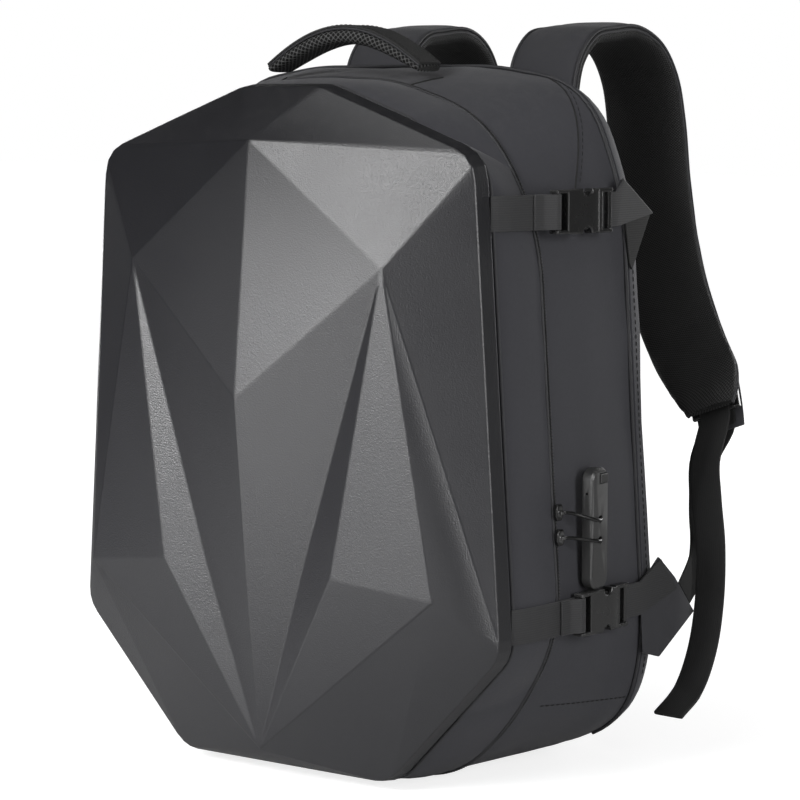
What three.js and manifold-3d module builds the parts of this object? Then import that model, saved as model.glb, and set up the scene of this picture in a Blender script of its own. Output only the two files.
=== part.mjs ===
// A hard shell backpack, stood upright: a moulded and faceted front shell on a fabric bag, with a
// grab handle, two padded shoulder straps, side compression straps and a zip lock on its right side.
// Millimetres, +Z up, the shell faces -Y, and +X is the side that carries the lock.
import * as THREE from "three";
import { mergeVertices } from "three/addons/utils/BufferGeometryUtils.js";
import Module from "manifold-3d";

const wasm = await Module();
wasm.setup();

// Overall sizes. Depths are measured back from the plane of the shell's front edge.
const BAG_HEIGHT = 480;
const BAG_HALF_WIDTH = 184;
const SHELL_TOP = 466;
const SHELL_HALF_WIDTH = 176.2;
const SHELL_BULGE = 50.7;
const SHELL_SIDE_DEPTH = 13;
const ZIP_DEPTH = 61;
const SEAM_DEPTH = 165;
const BACK_DEPTH = 212;
const REST_DEPTH = 115;

// Walls, clearances and roundings
const CLEARANCE = 0.4;
const SHELL_WALL = 3;
const SHELL_FLARE = 2;
const SHELL_CORNER_RADIUS = 24;
const FABRIC_WALL = 2.6;
const GUSSET_WALL = 4;
const GUSSET_PUFF = 1.6;
const RIM_RECESS = 2;
const ZIP_WIDTH = 4.4;
const ZIP_PROUD = 1;
const PIPING_WIDTH = 3.6;
const PIPING_PROUD = 1.2;
const SOFT_CORNER_RADIUS = 200;
const REAR_CORNER_RADIUS = 44;
const SEAM_LEAN = 0.06;
const BACK_LEAN = 0.07;
const LEAN_LEVEL = 107;
const BACK_PANEL_THICKNESS = 10;
const BACK_PANEL_MARGIN = 3;

// Straps, webbing and buckles
const WEBBING_WIDTH = 23;
const WEBBING_THICKNESS = 1.6;
const STRAP_THICKNESS = 14;
const STRAP_END_TAPER = 0.55;
const SLIDER_SEAT = 1.5;
const SLIDER_OVERHANG = -11;
const UPPER_STRAP_LEVEL = 385;
const LOWER_STRAP_LEVEL = 119.5;
const UPPER_BUCKLE_DEPTH = 92;
const LOWER_BUCKLE_DEPTH = 104;
const BUCKLE_SIDE_BAR = 2.8;
const BUCKLE_THICKNESS = 8;
const FEMALE_LENGTH = 40;
const MALE_FRAME_LENGTH = 14;
const BAR_SIZE = 3.2;
const BUCKLE_SLOT = 6.8;
const BUCKLE_EDGE = 0.7;
const MALE_THICKNESS = 6.4;
const PRONG_TIP = 11;
const CAVITY_DEPTH = 24;
const CAVITY_HALF_HEIGHT = 10.4;
const BULGE_HALF_HEIGHT = 12.4;
const STITCHED_LENGTH = 18;
const NOTCH_RADIUS = 4.4;
const BULGE_LENGTH = 5;
const PRONG_WIDTH = 3.2;
const TONGUE_HALF_HEIGHT = 2.5;
const PRONG_THICKNESS = 3.2;
const WING_THICKNESS = 1.8;
const FOLD_LENGTH = 44;
const RETURN_WIDTH = 13;
const SLANT_LENGTH = 33;
const STRAP_SLIDER_WIDTH = 37;
const STRAP_SLIDER_HEIGHT = 19;
const STRAP_SLIDER_THICKNESS = 4.4;

// Handle
const HANDLE_DEPTH = 80;
const HANDLE_HALF_SPAN = 63;
const HANDLE_TOP = 508;
const HANDLE_WIDTH = 27;
const HANDLE_END_THICKNESS = 5;
const HANDLE_TAPER = 3;
const HANDLE_PAD_THICKNESS = 11;
const HANDLE_COVER_THICKNESS = 1.8;
const HANDLE_COVER_WIDTH = 25;

// Lock and zip pulls
const LOCK_DEPTH = 95;
const LOCK_LEVEL = 175.5;
const LOCK_WIDTH = 20.5;
const LOCK_HEIGHT = 81;
const LOCK_FACE = 192.5;
const LOCK_CORNER_RADIUS = 8;
const LOCK_EDGE = 1.6;
const BUTTON_LEVEL = 209;
const BUTTON_WIDTH = 9;
const BUTTON_HEIGHT = 6.4;
const BUTTON_PROUD = 1.2;
const BUTTON_POCKET_DEPTH = 6;
const BUTTON_TRAVEL = 1.5;
const BUTTON_OFFSET = 3.4;
const RESET_LEVEL = 199.5;
const PULL_HOLE_RADIUS = 2.6;
const PULL_HOLE_DEPTH = 4.5;
const PULL_RADIUS = 1.3;
const RESET_HOLE_RADIUS = 1;
const SLIDER_LENGTH = 11;
const SLIDER_WIDTH = 8;
const SLIDER_THICKNESS = 3.4;
const SLIDER_EDGE = 0.6;
const ARCH_HALF_WIDTH = 1.2;

// How finely curves are cut into flats
const CORNER_STEPS = 3;
const STRAP_STEPS = 3;

const paint = {
  shell: new THREE.MeshStandardMaterial({ color: 0x4c4d50, roughness: 0.42, metalness: 0.1 }),
  fabric: new THREE.MeshStandardMaterial({ color: 0x35353a, roughness: 0.75, metalness: 0 }),
  mesh: new THREE.MeshStandardMaterial({ color: 0x18181b, roughness: 0.9, metalness: 0 }),
  webbing: new THREE.MeshStandardMaterial({ color: 0x2d2d30, roughness: 0.85, metalness: 0 }),
  plastic: new THREE.MeshStandardMaterial({ color: 0x1b1b1d, roughness: 0.35, metalness: 0 }),
  metal: new THREE.MeshStandardMaterial({ color: 0x141416, roughness: 0.25, metalness: 0.6 }),
};

// Facet corners of the right half of the shell, as shares of its half width, height and bulge
const FACET_POINTS = {
  apex: { across: 0, up: 0.925, bulge: 0.675 },
  waist: { across: 0, up: 0.564, bulge: 1 },
  fold: { across: 0, up: 0.244, bulge: 0.722 },
  toe: { across: 0, up: 0.05, bulge: 0.517 },
  brow: { across: 0.595, up: 0.752, bulge: 0.604 },
  thigh: { across: 0.82, up: 0.299, bulge: 0.596 },
  ridge: { across: 0.4, up: 0.318, bulge: 0.797 },
  valley: { across: 0.227, up: 0.313, bulge: 0.623 },
};

// Which facet corner each stretch of the right edge meets, from the top centre down to the toe
const EDGE_OWNERS = ["apex", "apex", "apex", "shoulder", "thigh", "thigh", "foot"];

// Outlines from front to back: the corners of the right half, as shares of half width and height
const OUTLINES = {
  rim: {
    crown: 1, topX: 0.187, topZ: 1, upperX: 0.533, upperZ: 0.953, shoulderX: 0.88, shoulderZ: 0.905,
    hipX: 1, hipZ: 0.218, lowerX: 0.748, lowerZ: 0.117, footX: 0.496, footZ: 0.016,
  },
  zip: {
    crown: 0.984, topX: 0.283, topZ: 0.979, upperX: 0.674, upperZ: 0.929, shoulderX: 0.895, shoulderZ: 0.786,
    hipX: 0.995, hipZ: 0.225, lowerX: 0.793, lowerZ: 0.092, footX: 0.543, footZ: 0,
  },
  waist: {
    crown: 0.996, topX: 0.348, topZ: 0.993, upperX: 0.75, upperZ: 0.954, shoulderX: 0.935, shoulderZ: 0.8,
    hipX: 1.005, hipZ: 0.204, lowerX: 0.87, lowerZ: 0.075, footX: 0.57, footZ: 0,
  },
  seam: {
    crown: 1, topX: 0.413, topZ: 1, upperX: 0.815, upperZ: 0.975, shoulderX: 0.957, shoulderZ: 0.817,
    hipX: 1, hipZ: 0.175, lowerX: 0.913, lowerZ: 0.0625, footX: 0.587, footZ: 0,
  },
};

// Centre line of the right shoulder strap: shares of half width, bag height and bag depth
const STRAP_STATIONS = [
  { across: 0.397, back: 0.984, up: 0.846, width: 56 },
  { across: 0.397, back: 0.975, up: 0.896, width: 56 },
  { across: 0.397, back: 0.978, up: 0.954, width: 56 },
  { across: 0.397, back: 1.012, up: 1.008, width: 57 },
  { across: 0.4, back: 1.094, up: 1.042, width: 58 },
  { across: 0.402, back: 1.203, up: 1.05, width: 59 },
  { across: 0.405, back: 1.344, up: 1.052, width: 61 },
  { across: 0.418, back: 1.472, up: 1.027, width: 62 },
  { across: 0.429, back: 1.547, up: 0.981, width: 63 },
  { across: 0.446, back: 1.571, up: 0.91, width: 64 },
  { across: 0.492, back: 1.546, up: 0.802, width: 64 },
  { across: 0.631, back: 1.452, up: 0.67, width: 60 },
  { across: 0.803, back: 1.34, up: 0.584, width: 56 },
  { across: 0.927, back: 1.259, up: 0.542, width: 52 },
  { across: 0.978, back: 1.215, up: 0.517, width: 44 },
  { across: 1, back: 1.195, up: 0.5, width: 36 },
];

// Free tail of the right strap's webbing, chosen by eye where it hangs
const TAIL_POINTS = [
  [185, 247, 202], [193, 236, 176], [201, 228, 146], [202, 225, 108],
  [201, 217, 74], [200, 200, 49], [199, 175, 36],
];

// Load webbing from the side wing up to the strap's slider, with the direction of its width
const LOAD_STATIONS = [
  { at: [186.5, 236, 131], wide: [0.15, 0.66, -0.74] },
  { at: [186, 248, 150], wide: [0.5, 0.5, -0.7] },
  { at: [184, 256, 176], wide: [0.85, 0.2, -0.4] },
  { at: [184, 262, 203], wide: [1, 0, 0] },
];

// Corners of the right side wing, as depth and height
const WING_CORNERS = [[158, 128], [182, 144], [204, 127], [231, 99], [183, 74], [162, 80]];

// Depth and height of the fold's middle, where it comes back to, and the middle of the slanted end
const FOLD_CENTRE = [157, 392.3];
const RETURN_CENTRE = [147, 347];
const SLANT_CENTRE = [193, 131];

// The zip's two sliders, and the heights at which their pulls end in the lock
const PULLS = [
  { name: "upper", level: 189.5, holeLevel: 182 },
  { name: "lower", level: 173, holeLevel: 168 },
];

// A closed solid from points and triangles, with its faces turned outwards
function solidFrom(points, triangles) {
  const geometry = new THREE.BufferGeometry();
  geometry.setFromPoints(points);
  geometry.setIndex(triangles.flat());
  let volume = 0;
  for (const [a, b, c] of triangles) {
    volume += points[a].dot(new THREE.Vector3().crossVectors(points[b], points[c]));
  }
  if (volume < 0) geometry.setIndex(triangles.map(([a, b, c]) => [a, c, b]).flat());
  geometry.computeVertexNormals();
  return geometry;
}

// Skins a row of rings that have equally many points. Without loop, both ends are capped.
function loft(rings, loop = false) {
  const count = rings[0].length;
  const points = rings.flat();
  const triangles = [];
  const spans = loop ? rings.length : rings.length - 1;
  for (let k = 0; k < spans; k += 1) {
    const here = k * count;
    const there = ((k + 1) % rings.length) * count;
    for (let i = 0; i < count; i += 1) {
      const j = (i + 1) % count;
      triangles.push([here + i, there + i, there + j], [here + i, there + j, here + j]);
    }
  }
  if (!loop) {
    for (const [ring, turned] of [[0, false], [rings.length - 1, true]]) {
      const middle = new THREE.Vector3();
      rings[ring].forEach((p) => middle.addScaledVector(p, 1 / count));
      const centre = points.push(middle) - 1;
      for (let i = 0; i < count; i += 1) {
        const a = ring * count + i;
        const b = ring * count + ((i + 1) % count);
        triangles.push(turned ? [centre, b, a] : [centre, a, b]);
      }
    }
  }
  return solidFrom(points, triangles);
}

// Between three.js geometry and a manifold solid, for the cuts
function toManifold(geometry) {
  const bare = geometry.clone();
  bare.deleteAttribute("normal");
  bare.deleteAttribute("uv");
  const merged = mergeVertices(bare, 1e-4);
  const vertProperties = new Float32Array(merged.getAttribute("position").array);
  const triVerts = new Uint32Array(merged.index.array);
  return new wasm.Manifold(new wasm.Mesh({ numProp: 3, vertProperties, triVerts }));
}

function fromManifold(body) {
  const { vertProperties, triVerts } = body.getMesh();
  const geometry = new THREE.BufferGeometry();
  geometry.setAttribute("position", new THREE.BufferAttribute(new Float32Array(vertProperties), 3));
  geometry.setIndex(new THREE.BufferAttribute(new Uint32Array(triVerts), 1));
  geometry.computeVertexNormals();
  return geometry;
}

function cut(geometry, ...tools) {
  return fromManifold(tools.reduce((body, tool) => body.subtract(toManifold(tool)), toManifold(geometry)));
}

function join(geometry, ...others) {
  return fromManifold(others.reduce((body, other) => body.add(toManifold(other)), toManifold(geometry)));
}

const bag = new THREE.Group();
bag.position.set(0, -REST_DEPTH, 0);

function addPiece(parent, name, geometry, material) {
  const piece = new THREE.Mesh(geometry, material);
  piece.name = name;
  parent.add(piece);
  return piece;
}

// Outlines: thirteen corners, clockwise from the top centre as seen from the front
function cornersOf(row, halfWidth, height) {
  const half = [
    [row.topX, row.topZ], [row.upperX, row.upperZ], [row.shoulderX, row.shoulderZ],
    [row.hipX, row.hipZ], [row.lowerX, row.lowerZ], [row.footX, row.footZ],
  ].map(([x, z]) => new THREE.Vector2(x * halfWidth, z * height));
  const mirrored = half.map((p) => new THREE.Vector2(-p.x, p.y)).reverse();
  return [new THREE.Vector2(0, row.crown * height), ...half, ...mirrored];
}

// Rounds each corner with a short quadratic curve, so that every outline has as many points
function rounded(corners, radius) {
  const nearlyHalf = 0.49;
  return corners.flatMap((corner, i) => {
    const before = corners[(i + corners.length - 1) % corners.length];
    const after = corners[(i + 1) % corners.length];
    const inward = before.clone().sub(corner);
    const outward = after.clone().sub(corner);
    const turn = Math.PI - inward.angleTo(outward);
    const wanted = Math.max(radius * Math.tan(turn / 2), 1);
    const reach = Math.min(wanted, inward.length() * nearlyHalf, outward.length() * nearlyHalf);
    const start = corner.clone().addScaledVector(inward.normalize(), reach);
    const end = corner.clone().addScaledVector(outward.normalize(), reach);
    return new THREE.QuadraticBezierCurve(start, corner, end).getPoints(CORNER_STEPS);
  });
}

// Moves an outline inwards by a distance, or outwards if it is negative
function inset(outline, distance) {
  return outline.map((p, i) => {
    const before = outline[(i + outline.length - 1) % outline.length];
    const after = outline[(i + 1) % outline.length];
    const along = after.clone().sub(before).normalize();
    return new THREE.Vector2(p.x + along.y * distance, p.y - along.x * distance);
  });
}

function mix(one, other, share) {
  return one.map((p, i) => p.clone().lerp(other[i], share));
}

// Stands an outline up at a depth. A lean moves its top forwards, and nothing goes below the floor.
function placed(outline, depth, lean = 0) {
  return outline.map((p) => new THREE.Vector3(p.x, depth + lean * (LEAN_LEVEL - p.y), Math.max(p.y, 0)));
}

const shellCorners = cornersOf(OUTLINES.rim, SHELL_HALF_WIDTH, SHELL_TOP);
const rim = rounded(shellCorners, SHELL_CORNER_RADIUS);
const softOutline = (row) => rounded(cornersOf(row, BAG_HALF_WIDTH, BAG_HEIGHT), SOFT_CORNER_RADIUS);
const zipOutline = softOutline(OUTLINES.zip);
const waistOutline = softOutline(OUTLINES.waist);
const seamOutline = softOutline(OUTLINES.seam);

// The shell: facets fanned from the rounded edge to the facet corners, a flared side wall and an open back
function shellSkin(outline, depth) {
  const at = {};
  for (const [name, { across, up, bulge }] of Object.entries(FACET_POINTS)) {
    const point = (side) =>
      new THREE.Vector3(side * across * SHELL_HALF_WIDTH, depth - bulge * SHELL_BULGE, up * SHELL_TOP);
    if (across === 0) at[name] = point(1);
    else [at[name + "R"], at[name + "L"]] = [point(1), point(-1)];
  }
  const edge = placed(outline, depth);
  const perCorner = CORNER_STEPS + 1;
  const middle = CORNER_STEPS / 2;
  const ownerOf = (i) => {
    const corner = Math.floor(i / perCorner);
    const onRight = corner < EDGE_OWNERS.length;
    const step = onRight ? i % perCorner : CORNER_STEPS - (i % perCorner);
    const side = onRight ? "R" : "L";
    const owner = EDGE_OWNERS[onRight ? corner : shellCorners.length - corner];
    if (owner === "shoulder") return step < middle ? "apex" : "brow" + side;
    if (owner === "foot") return step < middle ? "thigh" + side : "toe";
    return owner === "thigh" ? "thigh" + side : owner;
  };
  const facets = [];
  for (let i = 0; i < edge.length; i += 1) {
    const j = (i + 1) % edge.length;
    facets.push([at[ownerOf(i)], edge[i], edge[j]]);
    if (ownerOf(i) !== ownerOf(j)) facets.push([at[ownerOf(i)], edge[j], at[ownerOf(j)]]);
  }
  for (const side of ["R", "L"]) {
    const [brow, thigh, ridge, valley] = ["brow", "thigh", "ridge", "valley"].map((name) => at[name + side]);
    facets.push([at.apex, brow, at.waist], [at.waist, brow, valley], [at.waist, valley, at.fold]);
    facets.push([at.fold, valley, at.toe], [brow, thigh, ridge], [thigh, at.toe, ridge]);
    facets.push([brow, ridge, valley], [ridge, at.toe, valley]);
  }
  return { edge, facets };
}

function shellGeometry() {
  const outer = shellSkin(rim, 0);
  const inner = shellSkin(inset(rim, SHELL_WALL), SHELL_WALL);
  const flare = inset(rim, -SHELL_FLARE);
  const outerBack = placed(flare, SHELL_SIDE_DEPTH);
  const innerBack = placed(inset(flare, SHELL_WALL), SHELL_SIDE_DEPTH);
  const points = [];
  const triangles = [];
  const numberOf = new Map();
  const use = (p) => {
    if (!numberOf.has(p)) numberOf.set(p, points.push(p) - 1);
    return numberOf.get(p);
  };
  const facing = (facet, sign) => {
    const [a, b, c] = facet;
    const normal = b.clone().sub(a).cross(c.clone().sub(a));
    return (normal.y < 0) === (sign > 0) ? [a, b, c] : [a, c, b];
  };
  outer.facets.forEach((facet) => triangles.push(facing(facet, 1).map(use)));
  inner.facets.forEach((facet) => triangles.push(facing(facet, -1).map(use)));
  const bands = [[outer.edge, outerBack], [outerBack, innerBack], [innerBack, inner.edge]];
  for (const [front, back] of bands) {
    for (let i = 0; i < front.length; i += 1) {
      const j = (i + 1) % front.length;
      triangles.push([use(front[i]), use(back[j]), use(back[i])]);
      triangles.push([use(front[i]), use(front[j]), use(back[j])]);
    }
  }
  return solidFrom(points, triangles);
}
addPiece(bag, "front_shell", shellGeometry(), paint.shell);

// The fabric gusset from the shell's rim to the main zip
function gussetGeometry() {
  const front = SHELL_SIDE_DEPTH + CLEARANCE;
  const back = ZIP_DEPTH - ZIP_WIDTH / 2 - CLEARANCE;
  const rows = [
    { share: 0, out: -RIM_RECESS },
    { share: 0.12, out: 0 },
    { share: 0.35, out: GUSSET_PUFF },
    { share: 0.72, out: GUSSET_PUFF },
    { share: 1, out: 0 },
  ];
  const ring = ({ share, out }, wall) =>
    placed(inset(mix(rim, zipOutline, share), wall - out), front + (back - front) * share);
  const outer = rows.map((row) => ring(row, 0));
  const inner = rows.filter((row, i) => i % 2 === 0).reverse().map((row) => ring(row, GUSSET_WALL));
  return loft([...outer, ...inner], true);
}
const gusset = addPiece(bag, "front_gusset", gussetGeometry(), paint.fabric);

// The main zip and its flap, a raised band right round the bag
function zipGeometry() {
  const front = ZIP_DEPTH - ZIP_WIDTH / 2;
  const back = ZIP_DEPTH + ZIP_WIDTH / 2;
  const outer = inset(zipOutline, -ZIP_PROUD);
  const inner = inset(zipOutline, FABRIC_WALL);
  return loft([placed(outer, front), placed(outer, back), placed(inner, back), placed(inner, front)], true);
}
const mainZip = addPiece(bag, "main_zip", zipGeometry(), paint.webbing);

// The bag itself: a fabric tub, open towards the shell, whose back leans and has round edges
function bodyRings(wall) {
  const front = ZIP_DEPTH + ZIP_WIDTH / 2 + CLEARANCE;
  const half = (ZIP_DEPTH + SEAM_DEPTH) / 2;
  const nearSeam = mix(waistOutline, seamOutline, 0.7);
  const rings = [
    placed(inset(zipOutline, wall), front),
    placed(inset(waistOutline, wall), half, SEAM_LEAN / 2),
    placed(inset(nearSeam, wall), half + (SEAM_DEPTH - half) * 0.6, SEAM_LEAN * 0.8),
    placed(inset(seamOutline, wall), SEAM_DEPTH, SEAM_LEAN),
  ];
  for (const degrees of [30, 60, 90]) {
    const angle = degrees * THREE.MathUtils.DEG2RAD;
    const [sine, cosine] = [Math.sin(angle), Math.cos(angle)];
    const depth = SEAM_DEPTH + (BACK_DEPTH - wall - SEAM_DEPTH) * sine;
    const lean = THREE.MathUtils.lerp(SEAM_LEAN, BACK_LEAN, sine);
    const outline = inset(seamOutline, wall + (REAR_CORNER_RADIUS - wall) * (1 - cosine));
    rings.push(placed(outline, depth, lean));
  }
  return rings;
}
const aboveBase = (p) => new THREE.Vector3(p.x, p.y, Math.max(p.z, FABRIC_WALL));
const innerRings = bodyRings(FABRIC_WALL).map((ring) => ring.map(aboveBase));
const bodyGeometry = loft([...innerRings.reverse(), ...bodyRings(0)]);
const body = addPiece(bag, "bag_body", bodyGeometry, paint.fabric);

// How far the bag reaches to the right at a depth and height, and upwards at a point of its top
const hull = [gusset, mainZip, body].map((piece) => new THREE.Mesh(piece.geometry));
const probe = new THREE.Raycaster();
function reachOf(origin, direction) {
  probe.set(origin, direction);
  const hits = probe.intersectObjects(hull);
  return hits.length ? hits[0].point : null;
}
function sideAt(depth, level) {
  const hit = reachOf(new THREE.Vector3(2 * BAG_HALF_WIDTH, depth, level), new THREE.Vector3(-1, 0, 0));
  return hit ? hit.x : 0;
}
function topAt(across, depth) {
  const hit = reachOf(new THREE.Vector3(across, depth, 2 * BAG_HEIGHT), new THREE.Vector3(0, 0, -1));
  return hit ? hit.z : 0;
}

// The piping on the rear seam, from the right foot over the top to the left foot
function pipingGeometry() {
  const perCorner = CORNER_STEPS + 1;
  const footRight = (EDGE_OWNERS.length - 1) * perCorner;
  const order = [];
  for (let i = footRight - 1; i > 0; i -= 1) order.push(i);
  for (let i = seamOutline.length - 1; i > footRight + 2 * perCorner; i -= 1) order.push(i);
  const half = PIPING_WIDTH / 2;
  const section = [
    [CLEARANCE, -half], [PIPING_PROUD, -half / 2], [PIPING_PROUD, half / 2], [CLEARANCE, half],
  ];
  const rails = section.map(([out, along]) =>
    placed(inset(seamOutline, -out), SEAM_DEPTH + along, SEAM_LEAN));
  return loft(order.map((i) => rails.map((rail) => rail[i])));
}
addPiece(bag, "rear_piping", pipingGeometry(), paint.webbing);

// The padded panel against the wearer's back
function backPanelGeometry() {
  const flat = inset(seamOutline, REAR_CORNER_RADIUS + BACK_PANEL_MARGIN);
  const rows = [
    { depth: CLEARANCE, inward: 4 },
    { depth: BACK_PANEL_THICKNESS * 0.45, inward: 0 },
    { depth: BACK_PANEL_THICKNESS * 0.8, inward: 3 },
    { depth: BACK_PANEL_THICKNESS, inward: 10 },
  ];
  return loft(rows.map(({ depth, inward }) => placed(inset(flat, inward), BACK_DEPTH + depth, BACK_LEAN)));
}
addPiece(bag, "back_panel", backPanelGeometry(), paint.mesh);

// A flattened round section, as shares of half its width and half its thickness
function padSection(count, squareness) {
  return Array.from({ length: count }, (_, i) => {
    const angle = (i / count) * 2 * Math.PI + Math.PI / count;
    const soften = (value) => Math.sign(value) * Math.abs(value) ** (2 / squareness);
    return new THREE.Vector2(soften(Math.cos(angle)), soften(Math.sin(angle)));
  });
}
const PAD = padSection(12, 3.2);
const FLAT = [[1, 1], [-1, 1], [-1, -1], [1, -1]].map(([x, y]) => new THREE.Vector2(x, y));
const ROUND = padSection(8, 2);

// Sweeps a section through stations that each give a centre, a width direction, a normal and a size
function sweep(stations, section) {
  return loft(stations.map(({ at, wide, normal, width, thickness }) => section.map((p) =>
    at.clone().addScaledVector(wide, (p.x * width) / 2).addScaledVector(normal, (p.y * thickness) / 2))));
}

// Stations along a smooth line. Its width lies as near as it can to the direction asked for.
function stationsAlong(points, steps, sizeAt, wideAt) {
  const curve = new THREE.CatmullRomCurve3(points, false, "centripetal");
  const count = (points.length - 1) * steps;
  return Array.from({ length: count + 1 }, (_, i) => {
    const share = i / count;
    const at = curve.getPoint(share);
    const along = curve.getTangent(share);
    const wide = wideAt(share).clone();
    wide.addScaledVector(along, -wide.dot(along)).normalize();
    return { at, wide, normal: new THREE.Vector3().crossVectors(along, wide).normalize(), ...sizeAt(share) };
  });
}

// A value read from evenly spaced rows
function between(rows, share) {
  const place = share * (rows.length - 1);
  const low = Math.min(Math.floor(place), rows.length - 2);
  return THREE.MathUtils.lerp(rows[low], rows[low + 1], place - low);
}

// The grab handle, a shallow arch across the bag's top whose legs taper towards its ends
function handlePadThickness(reach) {
  return THREE.MathUtils.lerp(HANDLE_PAD_THICKNESS, HANDLE_END_THICKNESS, Math.abs(reach) ** HANDLE_TAPER);
}
function handleStations(thicknessAt, width, liftAt) {
  const rows = [-1, -0.5, 0, 0.5, 1].map((row) => HANDLE_DEPTH + (row * HANDLE_WIDTH) / 2);
  const inner = HANDLE_HALF_SPAN - HANDLE_PAD_THICKNESS;
  const seat = Math.max(...rows.map((depth) => topAt(inner, depth)));
  const foot = seat + CLEARANCE + HANDLE_END_THICKNESS / 2;
  const crest = HANDLE_TOP - HANDLE_COVER_THICKNESS - CLEARANCE - HANDLE_PAD_THICKNESS / 2;
  const steepness = ((crest - foot) * Math.PI) / (2 * HANDLE_HALF_SPAN);
  const count = 16;
  return Array.from({ length: count + 1 }, (_, i) => {
    const reach = (2 * i) / count - 1;
    const turn = (reach * Math.PI) / 2;
    const normal = new THREE.Vector3(steepness * Math.sin(turn), 0, 1).normalize();
    const height = foot + (crest - foot) * Math.cos(turn);
    const at = new THREE.Vector3(HANDLE_HALF_SPAN * reach, HANDLE_DEPTH, height);
    at.addScaledVector(normal, liftAt(reach));
    return { at, wide: new THREE.Vector3(0, 1, 0), normal, width, thickness: thicknessAt(reach) };
  });
}
const coverLift = (reach) => (handlePadThickness(reach) + HANDLE_COVER_THICKNESS) / 2 + CLEARANCE;
const padStations = handleStations(handlePadThickness, HANDLE_WIDTH, () => 0);
const coverStations = handleStations(() => HANDLE_COVER_THICKNESS, HANDLE_COVER_WIDTH, coverLift);
addPiece(bag, "handle_pad", sweep(padStations, PAD), paint.mesh);
addPiece(bag, "handle_cover", sweep(coverStations, FLAT), paint.fabric);

// The tightest line over a row of points, as a strap pulled tight would lie
function pulledTight(points) {
  const line = [];
  for (const p of points) {
    while (line.length > 1) {
      const [a, b] = line.slice(-2);
      if ((b.x - a.x) * (p.y - a.y) > (p.x - a.x) * (b.y - a.y)) break;
      line.pop();
    }
    line.push(p);
  }
  return line;
}

// Where the flat of a strap lies: the bag's side at each depth, over the strap's whole width
function sideLine(level, from, to, seat) {
  const edge = WEBBING_WIDTH / 2;
  const rows = [-1, -0.75, -0.5, -0.25, 0, 0.25, 0.5, 0.75, 1].map((share) => share * edge);
  const step = 2;
  const widestAt = (depth) => Math.max(...rows.map((row) => sideAt(depth, level + row)));
  const points = [];
  for (let depth = from; depth < to; depth += step) points.push(new THREE.Vector2(widestAt(depth), depth));
  points.push(new THREE.Vector2(seat, to));
  return pulledTight(points);
}

// Side release buckle in its own frame: Y runs back along the strap, Z across it, X out of the bag.
// Its origin is where the two halves meet.
function plate(shape, thickness, edge) {
  const geometry = new THREE.ExtrudeGeometry(shape, {
    depth: thickness - 2 * edge, bevelEnabled: edge > 0, bevelThickness: edge, bevelSize: edge,
    bevelOffset: -edge, bevelSegments: 1, curveSegments: 5,
  });
  geometry.translate(0, 0, edge - thickness / 2);
  const [x, y, z] = [new THREE.Vector3(1, 0, 0), new THREE.Vector3(0, 1, 0), new THREE.Vector3(0, 0, 1)];
  return geometry.applyMatrix4(new THREE.Matrix4().makeBasis(y, z, x));
}
function rectangle(low, high, halfHeight) {
  const corners = [[low, -halfHeight], [high, -halfHeight], [high, halfHeight], [low, halfHeight]];
  return corners.map(([x, y]) => new THREE.Vector2(x, y));
}
function block(low, high) {
  const geometry = new THREE.BoxGeometry(high[0] - low[0], high[1] - low[1], high[2] - low[2]);
  return geometry.translate((low[0] + high[0]) / 2, (low[1] + high[1]) / 2, (low[2] + high[2]) / 2);
}

const femaleFront = -CLEARANCE - FEMALE_LENGTH;
const barHalf = BAR_SIZE / 2;
const slotHalfHeight = WEBBING_WIDTH / 2 + CLEARANCE;
const buckleHalfHeight = slotHalfHeight + BUCKLE_SIDE_BAR;
const loopRadius = barHalf * Math.SQRT2 + CLEARANCE + WEBBING_THICKNESS / 2;

// Thins a bar of the buckle, so that webbing can wrap round it
function aroundBar(front, back) {
  const far = BUCKLE_THICKNESS;
  return [
    block([-far, front, -slotHalfHeight], [-barHalf, back, slotHalfHeight]),
    block([barHalf, front, -slotHalfHeight], [far, back, slotHalfHeight]),
  ];
}

function femaleGeometry() {
  const half = buckleHalfHeight;
  const taper = 0.5;
  const fit = 0.5;
  const shape = new THREE.Shape();
  shape.moveTo(femaleFront, half - taper);
  shape.lineTo(femaleFront, -half + taper);
  shape.absarc(-PRONG_TIP, -half, NOTCH_RADIUS, Math.PI, 0, true);
  shape.lineTo(-CLEARANCE, -half + taper);
  shape.lineTo(-CLEARANCE, half - taper);
  shape.absarc(-PRONG_TIP, half, NOTCH_RADIUS, 0, -Math.PI, true);
  shape.closePath();
  const slotFront = femaleFront + BAR_SIZE;
  shape.holes.push(new THREE.Path(rectangle(slotFront, slotFront + BUCKLE_SLOT, slotHalfHeight)));
  const cavityHalf = PRONG_THICKNESS / 2 + CLEARANCE;
  const cavity = block([-cavityHalf, -CAVITY_DEPTH, -CAVITY_HALF_HEIGHT], [cavityHalf, 1, CAVITY_HALF_HEIGHT]);
  const [windowFront, windowBack] = [-PRONG_TIP - BULGE_LENGTH - fit, NOTCH_RADIUS - PRONG_TIP];
  const windows = block(
    [-cavityHalf, windowFront, -BULGE_HALF_HEIGHT], [cavityHalf, windowBack, BULGE_HALF_HEIGHT]);
  const body = plate(shape, BUCKLE_THICKNESS, BUCKLE_EDGE);
  return cut(body, cavity, windows, ...aroundBar(femaleFront - 1, slotFront + fit));
}

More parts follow.
